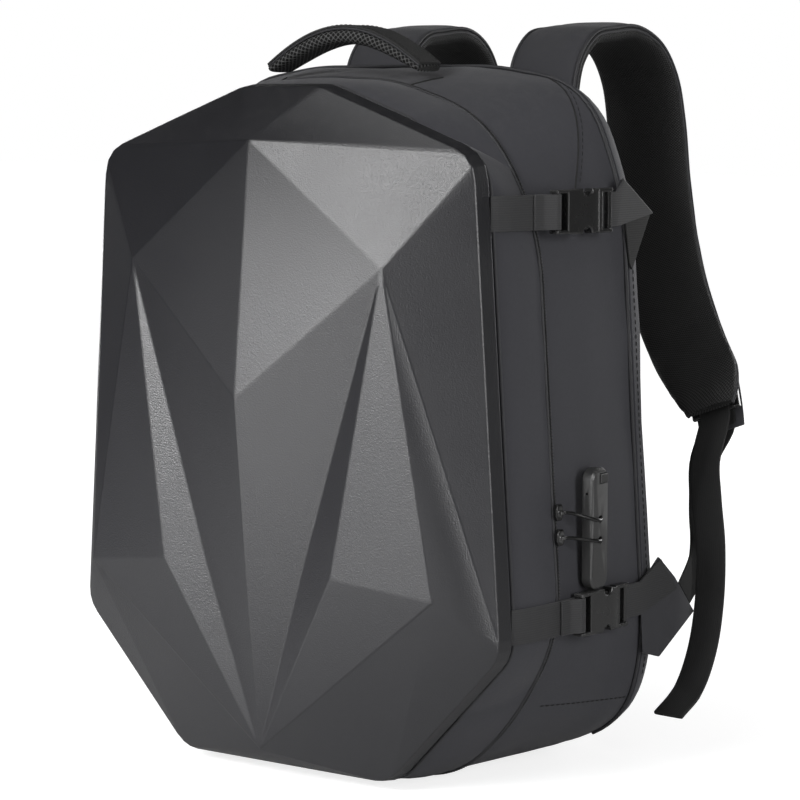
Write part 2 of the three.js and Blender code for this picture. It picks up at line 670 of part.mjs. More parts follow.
function maleGeometry() {
  const half = buckleHalfHeight;
  const slotBack = MALE_FRAME_LENGTH - BAR_SIZE;
  const shape = new THREE.Shape(rectangle(0, MALE_FRAME_LENGTH, half));
  shape.holes.push(new THREE.Path(rectangle(slotBack - BUCKLE_SLOT, slotBack, slotHalfHeight)));
  const barMargin = 0.5;
  const plain = plate(shape, MALE_THICKNESS, BUCKLE_EDGE);
  const frame = cut(plain, ...aroundBar(slotBack - barMargin, MALE_FRAME_LENGTH + 1));
  const reach = slotBack - BUCKLE_SLOT - 0.6;
  const prongHalf = PRONG_THICKNESS / 2;
  const tongue = block(
    [-prongHalf, reach - CAVITY_DEPTH, -TONGUE_HALF_HEIGHT], [prongHalf, reach, TONGUE_HALF_HEIGHT]);
  const root = CAVITY_HALF_HEIGHT - CLEARANCE;
  const bulge = BULGE_HALF_HEIGHT - CLEARANCE;
  const tip = -PRONG_TIP - BULGE_LENGTH;
  const prongs = [1, -1].map((side) => {
    const outline = [
      [reach, root - PRONG_WIDTH], [reach, root], [3.8 - PRONG_TIP, root], [2.6 - PRONG_TIP, bulge],
      [tip + 2.5, bulge], [tip, root - 0.6], [tip - 1, root - 1.4], [tip - 1, root - PRONG_WIDTH],
    ].map(([y, z]) => new THREE.Vector2(y, side * z));
    return plate(new THREE.Shape(outline), PRONG_THICKNESS, 0);
  });
  return join(frame, tongue, ...prongs);
}

// Turns points in plan into strap stations whose width stands upright
function planStations(points, level, width = WEBBING_WIDTH) {
  return points.map((p, i) => {
    const before = points[Math.max(i - 1, 0)];
    const after = points[Math.min(i + 1, points.length - 1)];
    const one = i ? p.clone().sub(before).normalize() : after.clone().sub(p).normalize();
    const two = i < points.length - 1 ? after.clone().sub(p).normalize() : one;
    const along = one.clone().add(two).normalize();
    const miter = 1 / Math.max(along.dot(one), 0.6);
    return {
      at: new THREE.Vector3(p.x, p.y, level), wide: new THREE.Vector3(0, 0, -1),
      normal: new THREE.Vector3(-along.y, along.x, 0), width, thickness: WEBBING_THICKNESS * miter,
    };
  });
}

// Compression straps on one side: front webbing, both buckle halves and the webbing behind them
function addCompressionStrap(parent, side, strap) {
  const { prefix, level, buckleDepth, rearDepth, rearSeat, rearStations } = strap;
  const start = SHELL_SIDE_DEPTH + CLEARANCE + 1;
  const offset = CLEARANCE + WEBBING_THICKNESS / 2;
  const line = sideLine(level, start, rearDepth, rearSeat).map((p) => new THREE.Vector2(p.x + offset, p.y));
  const across = (depth) => {
    const next = Math.max(line.findIndex((p) => p.y >= depth), 1);
    const [a, b] = [line[next - 1], line[next]];
    return THREE.MathUtils.lerp(a.x, b.x, (depth - a.y) / (b.y - a.y));
  };
  const meeting = buckleDepth + (FEMALE_LENGTH - MALE_FRAME_LENGTH) / 2;
  const frontDepth = meeting + femaleFront;
  const backDepth = meeting + MALE_FRAME_LENGTH;
  const tilt = Math.atan2(across(backDepth) - across(frontDepth), backDepth - frontDepth);
  const seatAt = (depth) => new THREE.Vector2(across(depth), depth);
  const [frontSeat, backSeat] = [seatAt(frontDepth), seatAt(backDepth)];
  const seat = frontSeat.clone().lerp(backSeat, -femaleFront / (backDepth - frontDepth));
  const out = new THREE.Vector2(Math.cos(tilt), -Math.sin(tilt));
  const under = line.filter((p) => p.y > frontDepth && p.y < backDepth);
  const bow = Math.max(...under.map((p) => p.clone().sub(seat).dot(out)), 0);
  const middle = seat.clone().addScaledVector(out, loopRadius + bow);
  const buckle = new THREE.Group();
  buckle.position.set(middle.x, middle.y, level);
  buckle.rotation.z = -tilt;
  parent.add(buckle);
  addPiece(buckle, prefix + "_buckle_female_" + side, femaleGeometry(), paint.plastic);
  addPiece(buckle, prefix + "_buckle_male_" + side, maleGeometry(), paint.plastic);

  // Both webbings are drawn from the buckle's own frame, where its bars are
  const origin = new THREE.Vector2(buckle.position.x, buckle.position.y);
  const inPlan = (x, y) => new THREE.Vector2(x, y).rotateAround(new THREE.Vector2(), -tilt).add(origin);
  const barAt = femaleFront + barHalf;
  const turn = Array.from({ length: 7 }, (_, i) => {
    const angle = Math.PI + (i / 6) * Math.PI;
    return inPlan(loopRadius * Math.cos(angle), barAt - loopRadius * Math.sin(angle));
  });
  const layer = WEBBING_THICKNESS + CLEARANCE;
  const frontPath = [
    ...line.filter((p) => p.y < frontDepth - 2 * BAR_SIZE), ...turn,
    inPlan(loopRadius * 0.8, barAt - 3), inPlan(layer - loopRadius + 0.8, barAt - 7.5),
    inPlan(layer - loopRadius, barAt - 11), inPlan(layer - loopRadius, barAt - STITCHED_LENGTH),
  ];
  const front = planStations(frontPath, level);
  addPiece(parent, prefix + "_front_webbing_" + side, sweep(front, FLAT), paint.webbing);
  const slotMiddle = MALE_FRAME_LENGTH - BAR_SIZE - BUCKLE_SLOT / 2;
  const rearPath = [
    inPlan(1.2, slotMiddle - 1.6), inPlan(-1, slotMiddle - 1), inPlan(-2.7, slotMiddle + 1),
    inPlan(-loopRadius, slotMiddle + 4), inPlan(-loopRadius, MALE_FRAME_LENGTH + 2),
    ...line.filter((p) => p.y > backDepth + 4),
  ];
  const rear = [...planStations(rearPath, level), ...rearStations(line[line.length - 1].x)];
  addPiece(parent, prefix + "_rear_webbing_" + side, sweep(rear, FLAT), paint.webbing);
}

// The upper strap's end is folded over a slanting edge and comes back inwards to the rear corner
function foldedEnd(x) {
  const wide = new THREE.Vector3(0, 0.85, -0.53).normalize();
  const outward = new THREE.Vector3(0, 0.53, 0.85).normalize();
  const crease = new THREE.Vector3(x, FOLD_CENTRE[0], FOLD_CENTRE[1]);
  const layer = WEBBING_THICKNESS + CLEARANCE;
  const size = { wide, width: FOLD_LENGTH, thickness: WEBBING_THICKNESS };
  const root = new THREE.Vector3(x - layer, ...RETURN_CENTRE);
  const [inwards, outwards] = [new THREE.Vector3(-1, 0, 0), new THREE.Vector3(1, 0, 0)];
  const bend = crease.clone().addScaledVector(outward, layer / 2).addScaledVector(inwards, layer / 2);
  return [
    { at: crease, normal: inwards, ...size },
    { at: bend, normal: outward.clone().negate(), ...size },
    { at: crease.clone().addScaledVector(inwards, layer), normal: outwards, ...size },
    { at: root, normal: outwards, ...size, width: RETURN_WIDTH },
  ];
}

// The lower strap's end runs up over the side wing and stops at the wing's slanting edge
function slantedEnd(x) {
  const wide = new THREE.Vector3(0, 0.69, -0.72).normalize();
  const at = new THREE.Vector3(x, SLANT_CENTRE[0], SLANT_CENTRE[1]);
  const normal = new THREE.Vector3(-1, 0, 0);
  return [{ at, wide, normal, width: SLANT_LENGTH, thickness: WEBBING_THICKNESS }];
}

// How far out the rear seam's piping reaches between two heights, with the clearance over it
function overPiping(low, high) {
  const rows = Array.from({ length: 5 }, (_, i) => THREE.MathUtils.lerp(low, high, i / 4));
  const depths = [SEAM_DEPTH - 40, SEAM_DEPTH - 20, SEAM_DEPTH];
  return Math.max(...rows.flatMap((z) => depths.map((y) => sideAt(y, z)))) + PIPING_PROUD + CLEARANCE;
}

// The side wing that anchors the load webbing, flat against the rear seam
const wingInside = overPiping(70, 150);
function wingGeometry() {
  const outline = WING_CORNERS.map(([y, z]) => new THREE.Vector2(y, z));
  return plate(new THREE.Shape(outline), WING_THICKNESS, 0).translate(wingInside + WING_THICKNESS / 2, 0, 0);
}

function directionsAlong(rows) {
  return (share) => {
    const place = share * (rows.length - 1);
    const low = Math.min(Math.floor(place), rows.length - 2);
    return rows[low].clone().lerp(rows[low + 1], place - low);
  };
}
const vector = (list) => new THREE.Vector3(...list);

// The padded shoulder strap
function strapStations() {
  const points = STRAP_STATIONS.map(({ across, back, up }) =>
    new THREE.Vector3(across * BAG_HALF_WIDTH, back * BACK_DEPTH, up * BAG_HEIGHT));
  const widths = STRAP_STATIONS.map(({ width }) => width);
  const endTaper = (share) => Math.min(1, STRAP_END_TAPER + 6 * Math.min(share, 1 - share));
  const size = (share) => ({ width: between(widths, share), thickness: STRAP_THICKNESS * endTaper(share) });
  return stationsAlong(points, STRAP_STEPS - 1, size, () => new THREE.Vector3(1, 0, 0));
}

// The ladder adjuster lies flat on the outer side of the strap's end
const strapRun = strapStations();
const strapEnd = strapRun[strapRun.length - 1];
const sliderUp = new THREE.Vector3().crossVectors(strapEnd.normal, strapEnd.wide);
const sliderRise = (STRAP_THICKNESS * SLIDER_SEAT + STRAP_SLIDER_THICKNESS) / 2 + CLEARANCE;
const sliderCentre = strapEnd.at.clone().addScaledVector(strapEnd.normal, -sliderRise);
sliderCentre.addScaledVector(sliderUp, -SLIDER_OVERHANG);

// One webbing runs from the wing's slanting edge up to the slider, round its middle bar and down as a tail
function adjusterGeometry() {
  const [top, tip] = [vector([0, ...WING_CORNERS[2]]), vector([0, ...WING_CORNERS[3]])];
  const edge = tip.clone().sub(top).normalize();
  const leave = new THREE.Vector3(0, -edge.z, edge.y);
  const start = top.lerp(tip, 0.5).addScaledVector(leave, 3 * CLEARANCE + WEBBING_THICKNESS / 2);
  start.x = wingInside + WING_THICKNESS / 2;
  const front = (STRAP_SLIDER_THICKNESS + WEBBING_THICKNESS) / 2 + CLEARANCE;
  const crest = (BAR_SIZE + WEBBING_THICKNESS) / 2 + 2 * CLEARANCE;
  const tall = STRAP_SLIDER_HEIGHT;
  const upwards = [
    [front * 1.3, -tall * 0.8], [front * 1.1, -tall * 0.5], [front, -tall * 0.2],
    [front, crest * 0.4], [front * 0.88, crest * 0.78], [front * 0.45, crest],
  ];
  const downwards = upwards.map(([inward, up]) => [inward, up]).reverse();
  const round = [...upwards.map(([inward, up]) => [-inward, up]), ...downwards];
  const loop = round.map(([inward, up]) =>
    sliderCentre.clone().addScaledVector(strapEnd.normal, inward).addScaledVector(sliderUp, up));
  const points = [start, ...LOAD_STATIONS.map(({ at }) => vector(at)), ...loop, ...TAIL_POINTS.map(vector)];
  const wides = [
    edge, ...LOAD_STATIONS.map(({ wide }) => vector(wide)), ...loop.map(() => strapEnd.wide),
    ...TAIL_POINTS.map(() => new THREE.Vector3(1, 0, 0)),
  ];
  const size = () => ({ width: WEBBING_WIDTH, thickness: WEBBING_THICKNESS });
  return sweep(stationsAlong(points, STRAP_STEPS - 1, size, directionsAlong(wides)), FLAT);
}

// The ladder adjuster at the end of the shoulder strap: a frame with two slots
function strapSliderGeometry() {
  const half = STRAP_SLIDER_WIDTH / 2;
  const tall = STRAP_SLIDER_HEIGHT;
  const shape = new THREE.Shape(rectangle(-tall / 2, tall / 2, half));
  const slot = (tall - 3 * BAR_SIZE) / 2;
  for (const low of [BAR_SIZE - tall / 2, 2 * BAR_SIZE + slot - tall / 2]) {
    shape.holes.push(new THREE.Path(rectangle(low, low + slot, half - BAR_SIZE)));
  }
  const frame = plate(shape, STRAP_SLIDER_THICKNESS, BUCKLE_EDGE);
  const turn = new THREE.Matrix4().makeBasis(strapEnd.normal, sliderUp.clone().negate(), strapEnd.wide);
  return frame.applyMatrix4(turn.setPosition(sliderCentre));
}

const straps = [
  {
    prefix: "upper", level: UPPER_STRAP_LEVEL, buckleDepth: UPPER_BUCKLE_DEPTH, rearDepth: 129,
    rearSeat: overPiping(330, 380) + WEBBING_THICKNESS, rearStations: foldedEnd,
  },
  {
    prefix: "lower", level: LOWER_STRAP_LEVEL, buckleDepth: LOWER_BUCKLE_DEPTH, rearDepth: 154,
    rearSeat: wingInside + WING_THICKNESS, rearStations: slantedEnd,
  },
];
for (const [side, sign] of [["right", 1], ["left", -1]]) {
  const half = new THREE.Group();
  half.scale.x = sign;
  bag.add(half);
  straps.forEach((strap) => addCompressionStrap(half, side, strap));
  addPiece(half, "side_wing_" + side, wingGeometry(), paint.fabric);
  addPiece(half, "adjuster_webbing_" + side, adjusterGeometry(), paint.webbing);
  addPiece(half, "shoulder_strap_" + side, sweep(strapRun, PAD), paint.mesh);
  addPiece(half, "strap_slider_" + side, strapSliderGeometry(), paint.plastic);
}

// The lock on the right side, with its push button and the holes that hold the zip pulls' ends
const lockEdge = LOCK_WIDTH / 2;
const lockLevels = [-0.5, -0.25, 0, 0.25, 0.5].map((share) => LOCK_LEVEL + share * LOCK_HEIGHT);
const lockDepths = [-lockEdge, 0, lockEdge].map((offset) => LOCK_DEPTH + offset);
const lockBase = CLEARANCE + Math.max(...lockLevels.flatMap((z) => lockDepths.map((y) => sideAt(y, z))));
const lockThickness = LOCK_FACE - lockBase;
function rod(radius, from, to) {
  const [start, end] = [vector(from), vector(to)];
  const geometry = new THREE.CylinderGeometry(radius, radius, start.distanceTo(end), 12);
  const along = end.clone().sub(start).normalize();
  geometry.applyQuaternion(new THREE.Quaternion().setFromUnitVectors(new THREE.Vector3(0, 1, 0), along));
  return geometry.translate(...start.lerp(end, 0.5).toArray());
}
function buttonBlock(margin, inner, outer) {
  const [halfWidth, halfHeight] = [BUTTON_WIDTH / 2 + margin, BUTTON_HEIGHT / 2 + margin];
  const depth = LOCK_DEPTH + BUTTON_OFFSET;
  return block(
    [inner, depth - halfWidth, BUTTON_LEVEL - halfHeight],
    [outer, depth + halfWidth, BUTTON_LEVEL + halfHeight]);
}
function lockGeometry() {
  const [halfWidth, halfHeight, r] = [LOCK_WIDTH / 2, LOCK_HEIGHT / 2, LOCK_CORNER_RADIUS];
  const shape = new THREE.Shape();
  shape.moveTo(halfWidth, halfHeight - r);
  shape.absarc(halfWidth - r, halfHeight - r, r, 0, Math.PI / 2);
  shape.absarc(r - halfWidth, halfHeight - r, r, Math.PI / 2, Math.PI);
  shape.absarc(r - halfWidth, r - halfHeight, r, Math.PI, 1.5 * Math.PI);
  shape.absarc(halfWidth - r, r - halfHeight, r, 1.5 * Math.PI, 2 * Math.PI);
  const housing = plate(shape, lockThickness, LOCK_EDGE);
  housing.translate(lockBase + lockThickness / 2, LOCK_DEPTH, LOCK_LEVEL);
  const pocket = buttonBlock(CLEARANCE, LOCK_FACE - BUTTON_POCKET_DEPTH, LOCK_FACE + 1);
  const bottom = LOCK_FACE - PULL_HOLE_DEPTH;
  const holes = PULLS.map(({ holeLevel }) =>
    rod(PULL_HOLE_RADIUS, [bottom, LOCK_DEPTH, holeLevel], [LOCK_FACE + 1, LOCK_DEPTH, holeLevel]));
  const face = LOCK_DEPTH - halfWidth;
  const resetAt = lockBase + lockThickness / 2;
  const reset = rod(RESET_HOLE_RADIUS, [resetAt, face - 1, RESET_LEVEL], [resetAt, face + 3, RESET_LEVEL]);
  return cut(housing, pocket, ...holes, reset);
}
addPiece(bag, "lock_body", lockGeometry(), paint.plastic);
const buttonInner = LOCK_FACE - BUTTON_POCKET_DEPTH + BUTTON_TRAVEL + CLEARANCE;
addPiece(bag, "lock_button", buttonBlock(0, buttonInner, LOCK_FACE + BUTTON_PROUD), paint.plastic);

// The two zip sliders, and the rods of their pulls, whose ends sit in the lock's holes
for (const { name, level, holeLevel } of PULLS) {
  const [halfLength, halfWidth] = [SLIDER_LENGTH / 2, SLIDER_WIDTH / 2];
  const ends = [level - halfLength, level + halfLength];
  const seat = CLEARANCE + Math.max(...ends.map((z) => sideAt(ZIP_DEPTH, z)));
  const quarter = [[halfWidth, halfLength * 0.5], [halfWidth * 0.55, halfLength]];
  const upperHalf = [...quarter, ...quarter.map(([y, z]) => [-y, z]).reverse()];
  const around = [...upperHalf, ...upperHalf.map(([y, z]) => [-y, -z])];
  const outline = around.map(([y, z]) => new THREE.Vector2(y, z));
  const slab = plate(new THREE.Shape(outline), SLIDER_THICKNESS, SLIDER_EDGE);
  slab.translate(seat + SLIDER_THICKNESS / 2, ZIP_DEPTH, level);
  const crown = seat + SLIDER_THICKNESS;
  const [archFront, archBack] = [ZIP_DEPTH - 2 * PULL_RADIUS, ZIP_DEPTH + 1];
  const arch = block(
    [crown - SLIDER_EDGE, archFront, level - ARCH_HALF_WIDTH],
    [crown + 2 * PULL_RADIUS, archBack, level + ARCH_HALF_WIDTH]);
  addPiece(bag, "zip_slider_" + name, join(slab, arch), paint.metal);
  const rodX = crown + PULL_RADIUS + CLEARANCE / 2;
  const overFace = LOCK_FACE + PULL_RADIUS + 2 * CLEARANCE;
  const line = [
    [rodX, archBack + CLEARANCE + PULL_RADIUS / 2, level], [rodX + 1, ZIP_DEPTH + 9, level - 1],
    [overFace, LOCK_DEPTH - lockEdge, holeLevel + 1], [overFace, LOCK_DEPTH - 4, holeLevel],
    [LOCK_FACE + PULL_RADIUS * 0.5, LOCK_DEPTH - 0.6, holeLevel],
    [LOCK_FACE - PULL_HOLE_DEPTH * 0.6, LOCK_DEPTH, holeLevel],
  ].map(vector);
  const size = () => ({ width: 2 * PULL_RADIUS, thickness: 2 * PULL_RADIUS });
  const stations = stationsAlong(line, STRAP_STEPS, size, () => new THREE.Vector3(0, 0, 1));
  addPiece(bag, "zip_pull_" + name, sweep(stations, ROUND), paint.metal);
}

export default bag;
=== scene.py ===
# %% [markdown]
# A hard shell backpack: a faceted moulded front on a fabric bag, with a grab handle, two padded
# shoulder straps, buckled side straps and a small zip lock.
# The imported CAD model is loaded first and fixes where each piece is. The pieces made here give it
# rounded edges, sewn cloth, and materials with the detail of the real ones.

# %% The frame
import math

import bmesh
import bpy
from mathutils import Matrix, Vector, noise
from mathutils.bvhtree import BVHTree


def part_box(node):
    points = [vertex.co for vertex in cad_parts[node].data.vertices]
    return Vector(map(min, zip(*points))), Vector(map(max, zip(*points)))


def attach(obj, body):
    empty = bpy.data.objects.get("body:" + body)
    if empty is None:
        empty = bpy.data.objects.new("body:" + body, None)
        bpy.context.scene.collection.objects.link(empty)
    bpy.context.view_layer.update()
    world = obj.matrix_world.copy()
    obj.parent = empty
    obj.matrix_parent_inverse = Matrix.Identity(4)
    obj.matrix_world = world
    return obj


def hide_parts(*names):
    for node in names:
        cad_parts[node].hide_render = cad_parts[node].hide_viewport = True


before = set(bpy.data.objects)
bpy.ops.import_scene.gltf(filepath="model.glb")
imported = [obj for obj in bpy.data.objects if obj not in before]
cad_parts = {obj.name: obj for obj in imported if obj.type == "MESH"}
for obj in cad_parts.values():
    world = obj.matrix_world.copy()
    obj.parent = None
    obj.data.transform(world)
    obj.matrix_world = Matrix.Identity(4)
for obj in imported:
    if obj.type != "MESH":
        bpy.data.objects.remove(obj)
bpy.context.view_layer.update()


def new_object(name, data):
    one = bpy.data.objects.new(name, data)
    bpy.context.scene.collection.objects.link(one)
    return one


def stand(one, place, direction):
    """Puts a camera or a lamp at a place, turned to look in a direction."""
    one.location = place
    one.rotation_mode = "QUATERNION"
    one.rotation_quaternion = direction.to_track_quat("-Z", "Y")


# %% [markdown]
# The camera stands where the photograph was taken from: to the right of the front, a little above.
# A long lens keeps the upright edges nearly parallel, as in a product picture.

# %% Camera
AZIMUTH = math.radians(35.87)
ELEVATION = math.radians(6.382)
CAMERA_DISTANCE = 1.9505
LENS = 123.49
AIM = Vector((0, 0.020, 0.24487))

camera_data = bpy.data.cameras.new("camera")
camera_data.lens = LENS
camera_data.sensor_width = 36
camera = new_object("camera", camera_data)
towards_camera = Vector((
    math.sin(AZIMUTH) * math.cos(ELEVATION),
    -math.cos(AZIMUTH) * math.cos(ELEVATION),
    math.sin(ELEVATION),
))
stand(camera, AIM + towards_camera * CAMERA_DISTANCE, -towards_camera)
bpy.context.scene.camera = camera

# %% [markdown]
# Each cloth and plastic is a small tree of nodes. What several of them share is a node group with
# named inputs: threads, ribs, open mesh, moulded grain, and paler edges that are wear and, where
# the amount is set high as on the buckles, a painted highlight.
# Threads follow two numbers that every sewn piece carries, its distance along and across the piece
# in millimetres, so a weave turns with the strap that it is on.

# %% Building groups and materials
GREY = (0.05, 0.05, 0.05, 1)
DUST_COLOUR = (0.45, 0.44, 0.42, 1)


class Tree:
    """Short names for adding nodes to a node tree and linking them."""

    def __init__(self, tree):
        self.tree = tree

    def node(self, kind, **values):
        made = self.tree.nodes.new(kind)
        for name, value in values.items():
            setattr(made, name, value)
        return made

    def put(self, value, socket):
        if isinstance(value, bpy.types.NodeSocket):
            self.tree.links.new(value, socket)
        else:
            socket.default_value = value

    def math(self, operation, *values):
        made = self.node("ShaderNodeMath", operation=operation)
        for index, value in enumerate(values):
            self.put(value, made.inputs[index])
        return made.outputs[0]

    def spread(self, value, low, high, to_low=0.0, to_high=1.0, kind="SMOOTHSTEP"):
        made = self.node("ShaderNodeMapRange", interpolation_type=kind)
        for index, number in enumerate((value, low, high, to_low, to_high)):
            self.put(number, made.inputs[index])
        return made.outputs[0]

    def noise(self, scale, detail=3.0, place=None):
        made = self.node("ShaderNodeTexNoise")
        self.put(scale, made.inputs["Scale"])
        made.inputs["Detail"].default_value = detail
        if place is None:
            place = self.node("ShaderNodeTexCoord").outputs["Object"]
        self.put(place, made.inputs["Vector"])
        return made.outputs["Fac"]

    def mixed(self, share, one, other):
        made = self.node("ShaderNodeMix", data_type="RGBA")
        self.put(share, made.inputs[0])
        self.put(one, made.inputs[6])
        self.put(other, made.inputs[7])
        return made.outputs[2]


def new_group(name, inputs, outputs):
    """An empty shader group. Sockets are given with their values, a number or a colour."""
    kinds = {float: "NodeSocketFloat", tuple: "NodeSocketColor"}
    group = bpy.data.node_groups.new(name, "ShaderNodeTree")
    for side, sockets in (("INPUT", inputs), ("OUTPUT", outputs)):
        for socket, value in sockets.items():
            made = group.interface.new_socket(name=socket, in_out=side, socket_type=kinds[type(value)])
            made.default_value = value
    tree = Tree(group)
    return group, tree, tree.node("NodeGroupInput").outputs, tree.node("NodeGroupOutput").inputs


# %% [markdown]
# A plain weave is two sets of threads that take turns on top. The product of two sines gives that
# chequer, and a slow noise lets some threads lie higher than others.

# %% Group: plain weave
plain_weave, t, given, out = new_group(
    "plain_weave",
    {"Along": 0.0, "Across": 0.0, "Thread": 0.6},
    {"Height": 0.0, "Shade": 0.0},
)
turns = t.math("DIVIDE", 2 * math.pi, given["Thread"])
warp = t.math("SINE", t.math("MULTIPLY", given["Along"], turns))
weft = t.math("SINE", t.math("MULTIPLY", given["Across"], turns))
chequer = t.math("MULTIPLY_ADD", t.math("MULTIPLY", warp, weft), 0.5, 0.5)
slubs = t.noise(420, 2)
t.put(t.math("MULTIPLY", chequer, t.math("MULTIPLY_ADD", slubs, 0.8, 0.6)), out["Height"])
t.put(t.math("MULTIPLY_ADD", t.noise(9, 4), 0.5, t.math("MULTIPLY", slubs, 0.5)), out["Shade"])

# %% [markdown]
# Webbing is woven in ribs that run along it, each a row of slanted threads. The slant changes side
# from rib to rib, which is the herring bone that shows close up.

# %% Group: webbing ribs
webbing_ribs, t, given, out = new_group(
    "webbing_ribs",
    {"Along": 0.0, "Across": 0.0, "Rib": 2.4},
    {"Height": 0.0, "Shade": 0.0},
)
rows = t.math("DIVIDE", given["Across"], given["Rib"])
rib = t.math("ABSOLUTE", t.math("SINE", t.math("MULTIPLY", rows, math.pi)))
zigzag = t.math("PINGPONG", given["Across"], given["Rib"])
slanted = t.math("MULTIPLY", t.math("ADD", given["Along"], zigzag), 2 * math.pi / 1.1)
threads = t.math("MULTIPLY_ADD", t.math("SINE", slanted), 0.5, 0.5)
t.put(t.math("ADD", t.math("MULTIPLY", rib, 0.7), t.math("MULTIPLY", threads, 0.3)), out["Height"])
t.put(t.math("MULTIPLY_ADD", threads, 0.35, t.math("MULTIPLY", rib, 0.65)), out["Shade"])

# %% [markdown]
# Air mesh is a knitted net over foam. Its diamond holes lie on two slanting families of lines, so
# the product of a sine along each family is near zero on the yarn and large inside a hole.

# %% Group: air mesh
air_mesh, t, given, out = new_group(
    "air_mesh",
    {"Along": 0.0, "Across": 0.0, "Cell": 2.6, "Stretch": 1.0},
    {"Height": 0.0, "Hole": 0.0},
)
stretched = t.math("MULTIPLY", given["Across"], given["Stretch"])
turns = t.math("DIVIDE", math.pi, given["Cell"])
rising = t.math("SINE", t.math("MULTIPLY", t.math("ADD", given["Along"], stretched), turns))
falling = t.math("SINE", t.math("MULTIPLY", t.math("SUBTRACT", given["Along"], stretched), turns))
inside = t.math("ABSOLUTE", t.math("MULTIPLY", rising, falling))
hole = t.spread(inside, 0.16, 0.5)
t.put(t.math("SUBTRACT", 1.0, hole), out["Height"])
t.put(hole, out["Hole"])

# %% [markdown]
# Moulded plastic has a fine leathery grain from its tool. Two sizes of noise make it, and the same
# pattern nudges the roughness, so broad highlights break up a little.

# %% Group: moulded grain
moulded_grain, t, given, out = new_group(
    "moulded_grain",
    {"Scale": 900.0, "Rough": 0.4, "Change": 0.08},
    {"Height": 0.0, "Roughness": 0.0},
)
fine = t.noise(given["Scale"], 2)
broad = t.noise(t.math("MULTIPLY", given["Scale"], 0.02), 4)
t.put(fine, out["Height"])
uneven = t.math("SUBTRACT", broad, 0.5)
t.put(t.math("MULTIPLY_ADD", uneven, given["Change"], given["Rough"]), out["Roughness"])

# %% [markdown]
# Edges turn pale. This is wear, and where the amount is set high, as on the buckles, it is a painted
# highlight along the rims. Pointiness is high on edges, and a noise keeps the paling patchy. Dust
# settles where the surface faces up.

# %% Group: wear, dust and painted edge highlight
wear_dust_and_edge_highlight, t, given, out = new_group(
    "wear_dust_and_edge_highlight",
    {"Colour": GREY, "Worn": GREY, "Wear": 0.5, "Dust": 0.05},
    {"Colour": GREY, "Mask": 0.0},
)
geometry = t.node("ShaderNodeNewGeometry")
edges = t.spread(geometry.outputs["Pointiness"], 0.52, 0.62)
patchy = t.spread(t.noise(60, 5), 0.35, 0.65)
# Pale edges: wear, and where the amount is set high, as on the buckles, a painted highlight along the rims.
worn_and_highlit_edges = t.math("MULTIPLY", t.math("MULTIPLY", edges, patchy), given["Wear"])
upward = t.node("ShaderNodeSeparateXYZ")
t.put(geometry.outputs["Normal"], upward.inputs[0])
settled = t.math("MULTIPLY", t.spread(upward.outputs["Z"], 0.3, 1.0), t.spread(t.noise(140, 6), 0.4, 0.8))
dusted = t.math("MULTIPLY", settled, given["Dust"])
t.put(t.mixed(dusted, t.mixed(worn_and_highlit_edges, given["Colour"], given["Worn"]), DUST_COLOUR), out["Colour"])
t.put(worn_and_highlit_edges, out["Mask"])

# %% [markdown]
# A material places these groups with its own values. Constant numbers such as sheen are set on the
# Principled shader itself.

# %% Materials
def begin(name, **constants):
    """A new material with its tree and its Principled shader. Constants are the shader's sockets."""
    material = bpy.data.materials.new(name)
    material.use_nodes = True
    shader = material.node_tree.nodes["Principled BSDF"]
    for socket, value in constants.items():
        shader.inputs[socket.replace("_", " ")].default_value = value
    return material, Tree(material.node_tree), shader


def place_group(tree, group, **values):
    made = tree.node("ShaderNodeGroup", node_tree=group)
    for socket, value in values.items():
        tree.put(value, made.inputs[socket])
    return made.outputs


def thread_place(tree):
    """The two numbers that a sewn piece carries: millimetres along it and across it."""
    read = [tree.node("ShaderNodeAttribute", attribute_name=name) for name in ("along", "across")]
    return {"Along": read[0].outputs["Fac"], "Across": read[1].outputs["Fac"]}


def bump(tree, shader, height, depth):
    made = tree.node("ShaderNodeBump")
    made.inputs["Distance"].default_value = depth
    tree.put(height, made.inputs["Height"])
    tree.put(made.outputs["Normal"], shader.inputs["Normal"])


def grey(value, blue=1.0):
    return (value, value, value * blue, 1)


def moulded(name, colour, edge_wear_and_light_colour, rough, grain_scale, grain_depth, edge_wear_and_light=0.5, **constants):
    material, tree, shader = begin(name, **constants)
    finish = place_group(tree, wear_dust_and_edge_highlight, Colour=colour, Worn=edge_wear_and_light_colour, Wear=edge_wear_and_light, Dust=0.04)
    grain = place_group(tree, moulded_grain, Scale=grain_scale, Rough=rough)
    tree.put(finish["Colour"], shader.inputs["Base Color"])
    tree.put(grain["Roughness"], shader.inputs["Roughness"])
    bump(tree, shader, grain["Height"], grain_depth)
    return material


def woven(name, dark, light, thread, depth, rough=0.8, **constants):
    material, tree, shader = begin(name, **constants)
    weave = place_group(tree, plain_weave, **thread_place(tree), Thread=thread)
    colour = tree.mixed(weave["Shade"], dark, light)
    finish = place_group(tree, wear_dust_and_edge_highlight, Colour=colour, Worn=light, Wear=0.3, Dust=0.03)
    tree.put(finish["Colour"], shader.inputs["Base Color"])
    tree.put(tree.math("MULTIPLY_ADD", weave["Height"], 0.12, rough - 0.06), shader.inputs["Roughness"])
    bump(tree, shader, weave["Height"], depth)
    return material


def ribbed(name, dark, light, rib, depth, **constants):
    material, tree, shader = begin(name, Roughness=0.72, **constants)
    ribs = place_group(tree, webbing_ribs, **thread_place(tree), Rib=rib)
    tree.put(tree.mixed(ribs["Shade"], dark, light), shader.inputs["Base Color"])
    tree.put(tree.math("MULTIPLY_ADD", ribs["Height"], -0.1, 0.76), shader.inputs["Roughness"])
    bump(tree, shader, ribs["Height"], depth)
    return material


